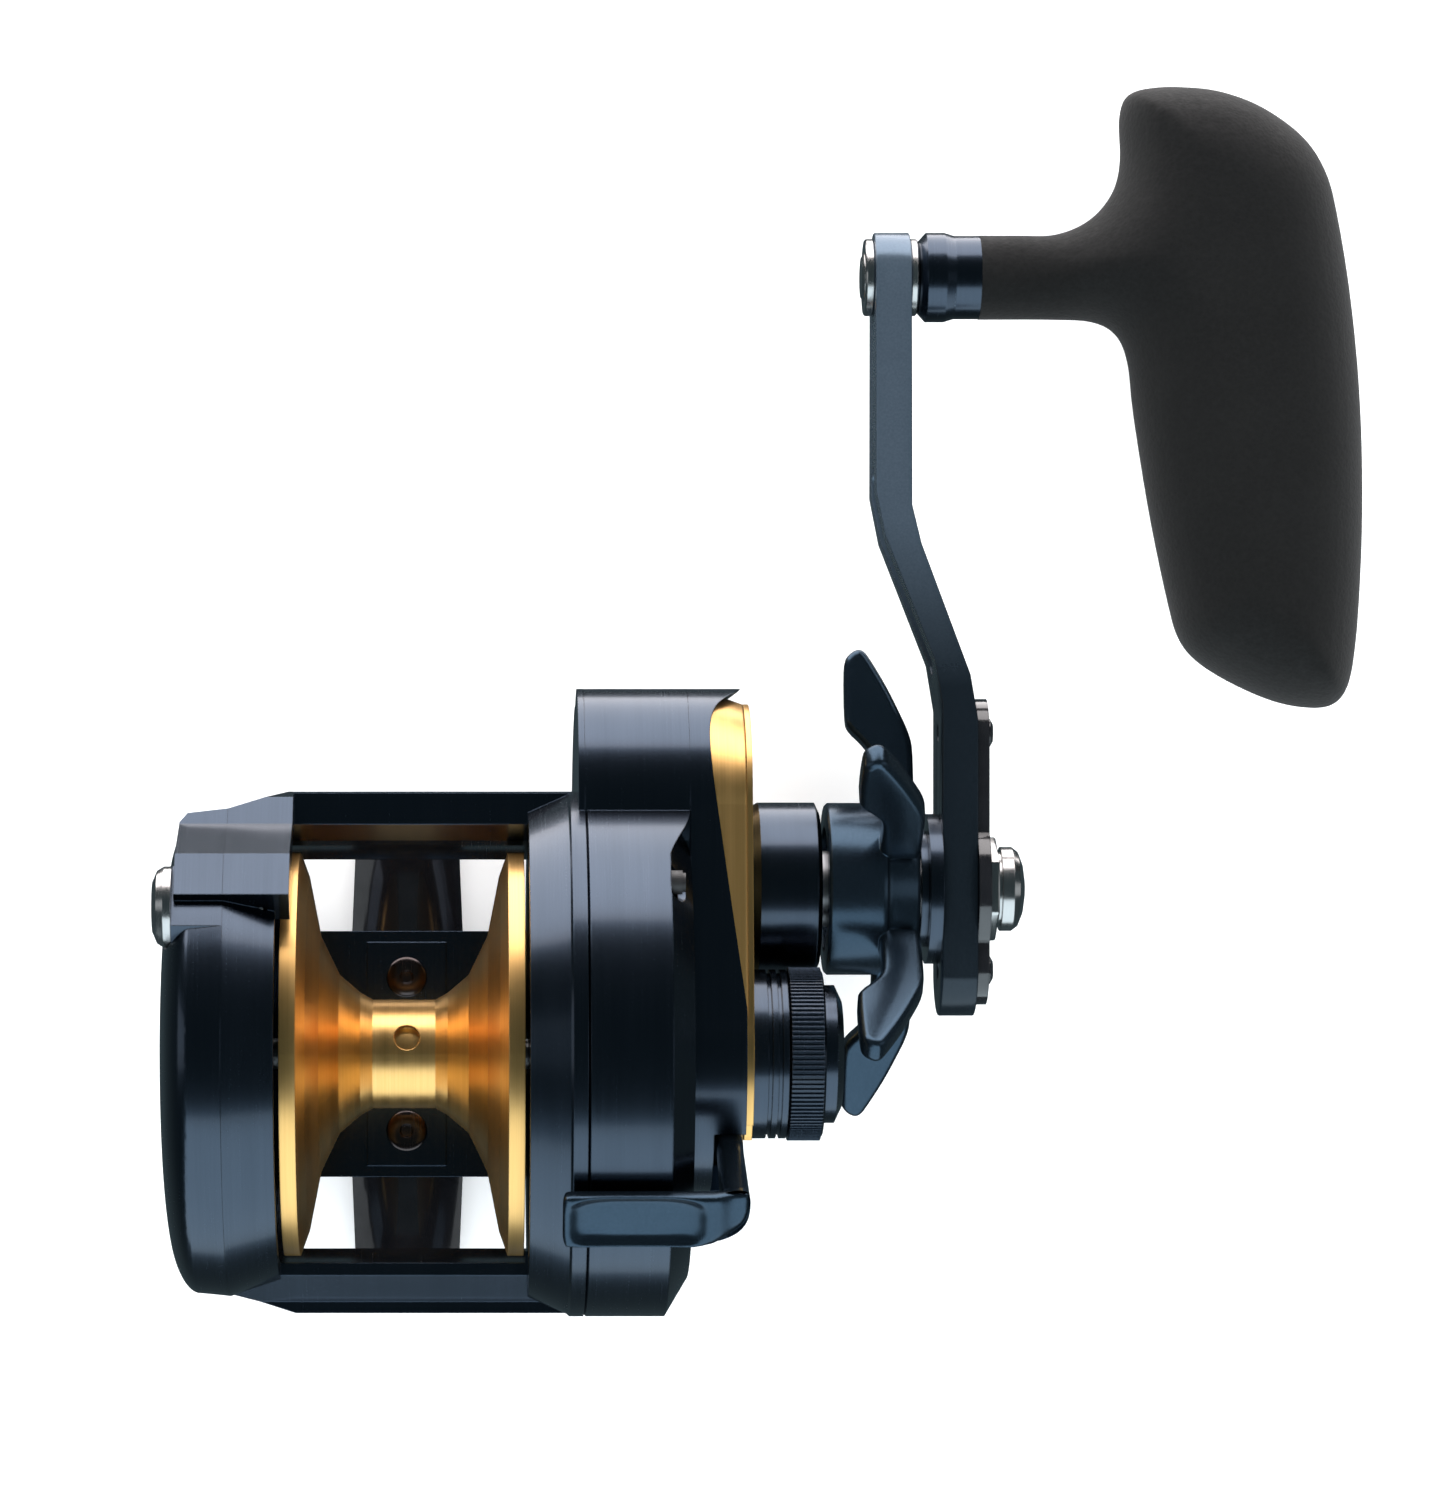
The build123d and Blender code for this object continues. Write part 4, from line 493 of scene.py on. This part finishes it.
def ring_tree(shape, finish):
    """Geometry Nodes that repeat a shape round the X axis, with named inputs for count, start and place."""
    tree = bpy.data.node_groups.new("ring_of_" + shape.name, "GeometryNodeTree")
    for label, kind, value in (("Count", "NodeSocketInt", 5), ("Start", "NodeSocketFloat", 0.0),
                               ("Centre", "NodeSocketVector", (0, 0, 0))):
        tree.interface.new_socket(label, in_out="INPUT", socket_type=kind).default_value = value
    tree.interface.new_socket("Geometry", in_out="OUTPUT", socket_type="NodeSocketGeometry")

    def add(kind, **settings):
        made = tree.nodes.new(kind)
        for key, value in settings.items():
            setattr(made, key, value)
        return made

    given = add("NodeGroupInput")
    source = add("GeometryNodeObjectInfo")
    source.inputs["Object"].default_value = shape
    points = add("GeometryNodePoints")
    index = add("GeometryNodeInputIndex")
    share = add("ShaderNodeMath", operation="DIVIDE")
    angle = add("ShaderNodeMath", operation="MULTIPLY_ADD")
    turn = add("ShaderNodeCombineXYZ")
    instances = add("GeometryNodeInstanceOnPoints")
    moved = add("GeometryNodeTransform")
    real = add("GeometryNodeRealizeInstances")
    paint = add("GeometryNodeSetMaterial")
    paint.inputs["Material"].default_value = finish
    result = add("NodeGroupOutput")
    angle.inputs[1].default_value = 2 * pi
    links = (
        (given.outputs["Count"], points.inputs["Count"]),
        (index.outputs[0], share.inputs[0]),
        (given.outputs["Count"], share.inputs[1]),
        (share.outputs[0], angle.inputs[0]),
        (given.outputs["Start"], angle.inputs[2]),
        (angle.outputs[0], turn.inputs["X"]),
        (points.outputs[0], instances.inputs["Points"]),
        (source.outputs["Geometry"], instances.inputs["Instance"]),
        (turn.outputs[0], instances.inputs["Rotation"]),
        (instances.outputs[0], moved.inputs[0]),
        (given.outputs["Centre"], moved.inputs["Translation"]),
        (moved.outputs[0], real.inputs[0]),
        (real.outputs[0], paint.inputs[0]),
        (paint.outputs[0], result.inputs[0]),
    )
    for start, end in links:
        tree.links.new(start, end)
    return tree


def ring_of(mesh, finish, count, start, centre):
    """A mesh made at angle 0 on the Y axis, repeated round a centre."""
    shape = bare(mesh.name, mesh)
    carrier = bare("carrier", bpy.data.meshes.new("carrier"))
    modifier = carrier.modifiers.new("ring", "NODES")
    modifier.node_group = ring_tree(shape, finish)
    sockets = {item.name: item.identifier for item in modifier.node_group.interface.items_tree}
    modifier[sockets["Count"]] = count
    modifier[sockets["Start"]] = radians(start)
    modifier[sockets["Centre"]] = tuple(centre)
    result = bpy.data.meshes.new_from_object(carrier.evaluated_get(bpy.context.evaluated_depsgraph_get()))
    bpy.data.objects.remove(carrier)
    bpy.data.objects.remove(shape)
    return result


# ---------------------------------------------------------------- T grip
def grip_outline():
    """Plan of the grip from the knob's axis: the stem, then round the body, in millimetres."""
    top = [(-9, 5.5), (-4, 5.5), (0, 5.5), (5, 5.5), (10, 5.6), (14.4, 7.5), (17.4, 11.0), (18.5, 15.2)]
    end = [(18.4, 21.0), (19.4, 23.8), (22.5, 24.7), (26.5, 24.8), (31.5, 24.2), (37.0, 22.1), (42.3, 18.2)]
    back = [(45.3, 13.6), (46.8, 8.0), (48.5, -2.5), (49.7, -15.0), (50.1, -28.0), (49.8, -40.0)]
    tip = [(49.1, -49.0), (48.1, -53.8), (46.2, -56.0), (43.0, -56.3), (38.5, -55.4), (33.0, -53.0)]
    front = [(28.6, -50.2), (26.2, -47.2), (24.8, -42.5), (22.4, -31.0), (20.3, -18.0), (19.5, -11.0)]
    stem = [(18.0, -7.4), (15.0, -5.8), (10, -5.5), (0, -5.5), (-9, -5.5)]
    return through(top + end + back + tip + front + stem, 5)


def from_edge(point, line):
    """Distance from a point to a closed line."""
    best = 1e9
    for i, start in enumerate(line):
        end = line[(i + 1) % len(line)]
        along = end - start
        t = max(0.0, min(1.0, (point - start).dot(along) / max(along.length_squared, 1e-12)))
        best = min(best, (point - start - along * t).length)
    return best


STEM_RADIUS = 5.5
INSETS = (0.12, 0.45, 1.0, 1.8, 2.9, 4.3)   # rows of points inside the outline
GRID = 1.5                          # spacing of the points farther in
GRID_START = (-8.2, -56.0)
GRID_COUNT = (40, 56)
SEAT_RADIUS, SEAT_DEPTH = 4.45, 8.05    # the sleeve's seat in the stem
BORE_RADIUS, BORE_DEPTH = 3.35, 24.7    # the post's bore
SWELL_FROM, SWELL_OVER = 5.0, 18.0  # where the stem starts to deepen, and over what length


def grip_mesh():
    """Foam body: its depth follows its distance to the outline, and the stem ends flat at its sleeve."""
    outline = grip_outline()
    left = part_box("t_grip")[0].x / MM
    half_depth = (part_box("t_grip")[1].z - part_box("t_grip")[0].z) / 2 / MM - 0.1
    count = len(outline)
    flat = list(outline)
    for inset in INSETS:
        for i in range(count):
            along = (outline[(i + 1) % count] - outline[i - 1]).normalized()
            moved = outline[i] + Vector((along.y, -along.x)) * inset
            if abs(from_edge(moved, outline) - inset) < 0.02:
                flat.append(moved)
    for column in range(GRID_COUNT[0]):
        for row in range(GRID_COUNT[1]):
            point = Vector((GRID_START[0] + GRID * column, GRID_START[1] + GRID * row))
            inside = sum((a.y > point.y) != (b.y > point.y)
                         and point.x < a.x + (point.y - a.y) * (b.x - a.x) / (b.y - a.y)
                         for a, b in zip(outline, outline[1:] + outline[:1])) % 2
            if inside and from_edge(point, outline) > 4.9:
                flat.append(point)
    edges = [(i, (i + 1) % count) for i in range(count)]
    spots, _, triangles, *_ = geometry.delaunay_2d_cdt(flat, edges, [], 1, 1e-4)
    points = []
    for sign in (1, -1):
        for spot in spots:
            inset = from_edge(spot, outline)
            swell = min(max((spot.x - SWELL_FROM) / SWELL_OVER, 0.0), 1.0)
            deep = STEM_RADIUS + (half_depth - STEM_RADIUS) * eased(swell)
            rise = sqrt(max(deep * deep - max(deep - inset, 0.0) ** 2, 0.0))
            points.append((left + spot.x, KNOB.y / MM + spot.y, KNOB.z / MM + sign * rise))
    shift = len(spots)
    faces = [tuple(t) for t in triangles] + [tuple(i + shift for i in reversed(t)) for t in triangles]
    body = baked(solid("foam_body", points, faces),
                 [("REMESH", {"mode": "VOXEL", "voxel_size": 0.00055}),
                  ("SMOOTH", {"factor": 0.5, "iterations": 6})])
    bore = lathe("bore", [(left - 12, 0), (left - 12, 9), (left, 9), (left, SEAT_RADIUS),
                          (left + SEAT_DEPTH, SEAT_RADIUS), (left + SEAT_DEPTH, BORE_RADIUS),
                          (left + BORE_DEPTH, BORE_RADIUS), (left + BORE_DEPTH, 0)], KNOB, 48)
    return cut(body, bore)


grip = install("foam_t_grip", grip_mesh(), "foam", "knob", "t_grip", 60)


# ---------------------------------------------------------------- star drag
FIN_COUNT = 5
FIN_START = -12                     # angle of the first fin from Y
FIN_HALF = 1.75                     # half the thickness of a fin
FIN_OFFSET = 0.55                   # how far the fin's outline is moved along the hub
FIN_TRIM = 0.38                     # keeps the lowest fin inside the CAD's box


def star_mesh():
    """Hub and skirt turned in one, with five swept fins that have rounded edges."""
    low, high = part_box("star_wheel")
    left, right = low.x / MM, high.x / MM
    reach = (high.y - DRIVE.y) / MM / cos(radians(FIN_START)) - FIN_TRIM
    hub = lathe("hub", [(left, 8.2), (left, 10.9), (left + 0.35, 11.25), (left + 6.9, 11.25),
                        (left + 7.5, 10.9), (left + 7.7, 10.3), (left + 8.3, 9.9), (right - 0.5, 9.3),
                        (right, 8.8), (right, 4.1), (left + 7.6, 4.1), (left + 7.6, 7.2), (left + 1.0, 7.2),
                        (left + 1.0, 8.2)], DRIVE, 96)
    fin = through([(6.0, 9.6), (6.0, 15.6), (5.6, 18.3), (4.4, 20.0), (3.0, 21.5), (2.5, 23.2),
                   (2.5, reach - 2.6), (2.9, reach - 0.9), (4.1, reach), (5.1, reach - 0.2),
                   (6.1, reach - 1.6), (8.0, reach - 5.0), (9.6, reach - 8.4), (10.9, reach - 11.6),
                   (11.3, reach - 14.5), (11.3, 9.6)], 3)
    outline = [(left + FIN_OFFSET + x, r) for x, r in fin]
    slab = prism("fin", outline, -FIN_HALF, FIN_HALF, upright)
    rounded = baked(slab, [("BEVEL", {"width": 0.0009, "segments": 5, "limit_method": "ANGLE",
                                      "angle_limit": radians(40), "use_clamp_overlap": True})])
    fins = ring_of(rounded, FINISHES["navy_satin"], FIN_COUNT, FIN_START, (0, DRIVE.y, DRIVE.z))
    return joined("star", [hub, fins])


install("star_drag_wheel", star_mesh(), "navy_satin", "star", "star_wheel", 40)


# ---------------------------------------------------------------- cast control
RIDGES = 110                        # also the steps of the ring they stand on
RIDGE_HALF = 0.2                    # half a ridge's width at its foot
RIDGE_HEIGHT = 0.4


def cast_control_mesh():
    """Knurled knob: a turned ring with straight ridges all round."""
    low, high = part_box("cast_control_knob")
    left, right, rim = low.x / MM, high.x / MM, (high.z - SPOOL.z) / MM
    ring = lathe("tension_ring", [(left, 8.8), (left, rim - 0.55), (left + 0.25, rim - 0.3),
                                  (right - 0.3, rim - 0.3), (right, rim - 0.6), (right, 6.0),
                                  (right - 1.2, 6.0), (right - 1.2, 8.8)], SPOOL, RIDGES)
    top = rim - 0.02
    foot = top - RIDGE_HEIGHT
    rib = [(RIDGE_HALF, foot), (RIDGE_HALF * 0.45, top), (-RIDGE_HALF * 0.45, top), (-RIDGE_HALF, foot)]
    ridge = prism("ridge", rib, left + 0.2, right - 0.25, lengthwise)
    ridges = ring_of(ridge, FINISHES["navy"], RIDGES, 0, (0, SPOOL.y, SPOOL.z))
    return joined("knurled", [ring, ridges])


install("knurled_cast_control", cast_control_mesh(), "navy", "cast_control", "cast_control_knob", 30)


# ---------------------------------------------------------------- foot screws
SHANK_RADIUS = 1.35
SOCKET_RADIUS = 0.75
CROWN_EDGE = 0.9                    # radius at which the crown's round edge starts


def foot_screws_mesh():
    """Two round-headed screws with a domed crown and a small socket, standing on the bed."""
    low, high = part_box("foot_screws")
    radius = (high.x - low.x) / 2 / MM
    top, under = high.z / MM, low.z / MM
    outline = [(under, 0), (under, SHANK_RADIUS), (top - 0.7, SHANK_RADIUS), (top - 0.7, radius)]
    outline += [(top - 0.6 + 0.6 * sin(radians(a)), CROWN_EDGE + (radius - CROWN_EDGE) * cos(radians(a)))
                for a in range(0, 91, 10)]
    outline += [(top - 0.3, SOCKET_RADIUS), (top - 0.35, 0)]
    screws = []
    for y in (low.y + radius * MM, high.y - radius * MM):
        screw = lathe("screw", outline, Vector((0, 0, 0)), 64)
        for vertex in screw.vertices:
            vertex.co = Vector((vertex.co.y + (low.x + high.x) / 2, vertex.co.z + y, vertex.co.x))
        screws.append(tidied(screw))
    return joined("foot_screw_pair", screws)


install("domed_foot_screws", foot_screws_mesh(), "screw_black", "housing", "foot_screws", 30)


# ---------------------------------------------------------------- handle arm
def copied(node, flatten):
    """A CAD node's shape as a new mesh, with doubles merged and, if asked, flat faces made whole."""
    shape = bmesh.new()
    shape.from_mesh(nodes[node].data)
    bmesh.ops.remove_doubles(shape, verts=shape.verts, dist=2e-6)
    if flatten:
        bmesh.ops.dissolve_limit(shape, angle_limit=radians(1.0), verts=shape.verts, edges=shape.edges)
    mesh = bpy.data.meshes.new(node)
    shape.to_mesh(mesh)
    shape.free()
    return mesh


def eased_copy(node, width):
    """A CAD node's shape with its sharp edges cut back by a width in millimetres."""
    bevel = {"width": width * MM, "segments": 2, "limit_method": "ANGLE", "angle_limit": radians(35),
             "use_clamp_overlap": True, "miter_outer": "MITER_ARC"}
    return baked(copied(node, flatten=True), [("BEVEL", bevel)])


# the arm's finish paints shade on its inner part and light on its outer part
install("cranked_handle_arm", eased_copy("handle_arm", 1.0), "arm_satin", "crank", "handle_arm", 30)
install("hex_handle_nut", eased_copy("handle_nut", 0.35), "steel", "crank", "handle_nut", 30)


# ---------------------------------------------------------------- thumb lever
PADDLE_FACE = 0.0377                # radius of the paddle's outer face
PADDLE_DEPTH = 0.0012               # how far in from the face a point still counts as the paddle
PADDLE_FROM = 0.0048                # the paddle ends this far in from the lever's right side
STEP_RUN, STEP_DROP = 0.0034, 0.0010    # the fall from the paddle to its side arm
DISH_ANGLE, DISH_SPREAD = 124, 6    # the dish's middle and half width, in degrees from Y
DISH_DROP = 0.0016


def lever_mesh():
    """Clutch lever with a soft outline, a dish for the thumb and a step down to its side arm."""
    low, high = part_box("clutch_lever")
    right, front = high.x / MM, low.y / MM
    corner = through([(right, front + 5.0), (right - 0.5, front + 3.2), (right - 2.4, front + 1.6),
                      (right - 8.0, front - 0.4)], 5)
    outside = [(right - 8.0, front - 3), (right + 3, front - 3), (right + 3, front + 5.0)]
    rounder = prism("corner", [tuple(p) for p in corner] + outside, low.z / MM - 2, high.z / MM + 2, upright)
    soft = baked(cut(copied("clutch_lever", flatten=False), rounder),
                 [("REMESH", {"mode": "VOXEL", "voxel_size": 0.00028}),
                  ("SMOOTH", {"factor": 0.5, "iterations": 70})])
    centre = Vector((0, SPOOL.y, SPOOL.z))
    end = high.x - PADDLE_FROM
    middle_x, half_x = (low.x + end) / 2, (end - low.x) / 2
    for vertex in soft.vertices:
        out = Vector((0, vertex.co.y, vertex.co.z)) - centre
        if out.length < PADDLE_FACE - PADDLE_DEPTH:
            continue
        past = min(max((vertex.co.x - end) / STEP_RUN, 0.0), 1.0)
        vertex.co -= out.normalized() * STEP_DROP * eased(past)
        across = (out.angle(Vector((0, 1, 0))) - radians(DISH_ANGLE)) / radians(DISH_SPREAD)
        along = (vertex.co.x - middle_x) / half_x
        dip = max(1 - across ** 4 - along ** 4, 0.0)
        vertex.co -= out.normalized() * DISH_DROP * eased(dip)
    return soft


install("thumb_lever", lever_mesh(), "navy_satin", "lever", "clutch_lever", 60)


# ---------------------------------------------------------------- floor
FLOOR_HALF = 3.0
FLOOR_GAP = 0.0005


def flat_floor():
    """A wide pale floor just under the reel, faintly lit so that it stays white."""
    mesh = bpy.data.meshes.new("floor")
    z = cad_box[0].z - FLOOR_GAP
    corners = [(x * FLOOR_HALF, y * FLOOR_HALF, z) for x, y in ((-1, -1), (1, -1), (1, 1), (-1, 1))]
    mesh.from_pydata(corners, [], [(0, 1, 2, 3)])
    floor = bpy.data.objects.new("floor", mesh)
    scene.collection.objects.link(floor)
    paper = Finish("pale_paper", {"Roughness": 0.9, "Specular IOR Level": 0.0,
                                  "Emission Color": rgb(1.0, 1.0, 1.0), "Emission Strength": 0.3})
    tone = paper.noise(paper.stretched((2, 2, 2)), detail=1.0)
    paper.feed("Base Color", paper.tint(tone, rgb(0.93, 0.93, 0.93), rgb(0.95, 0.95, 0.95)))
    mesh.materials.append(paper.material)
    floor.visible_glossy = False
    floor.visible_shadow = False


flat_floor()
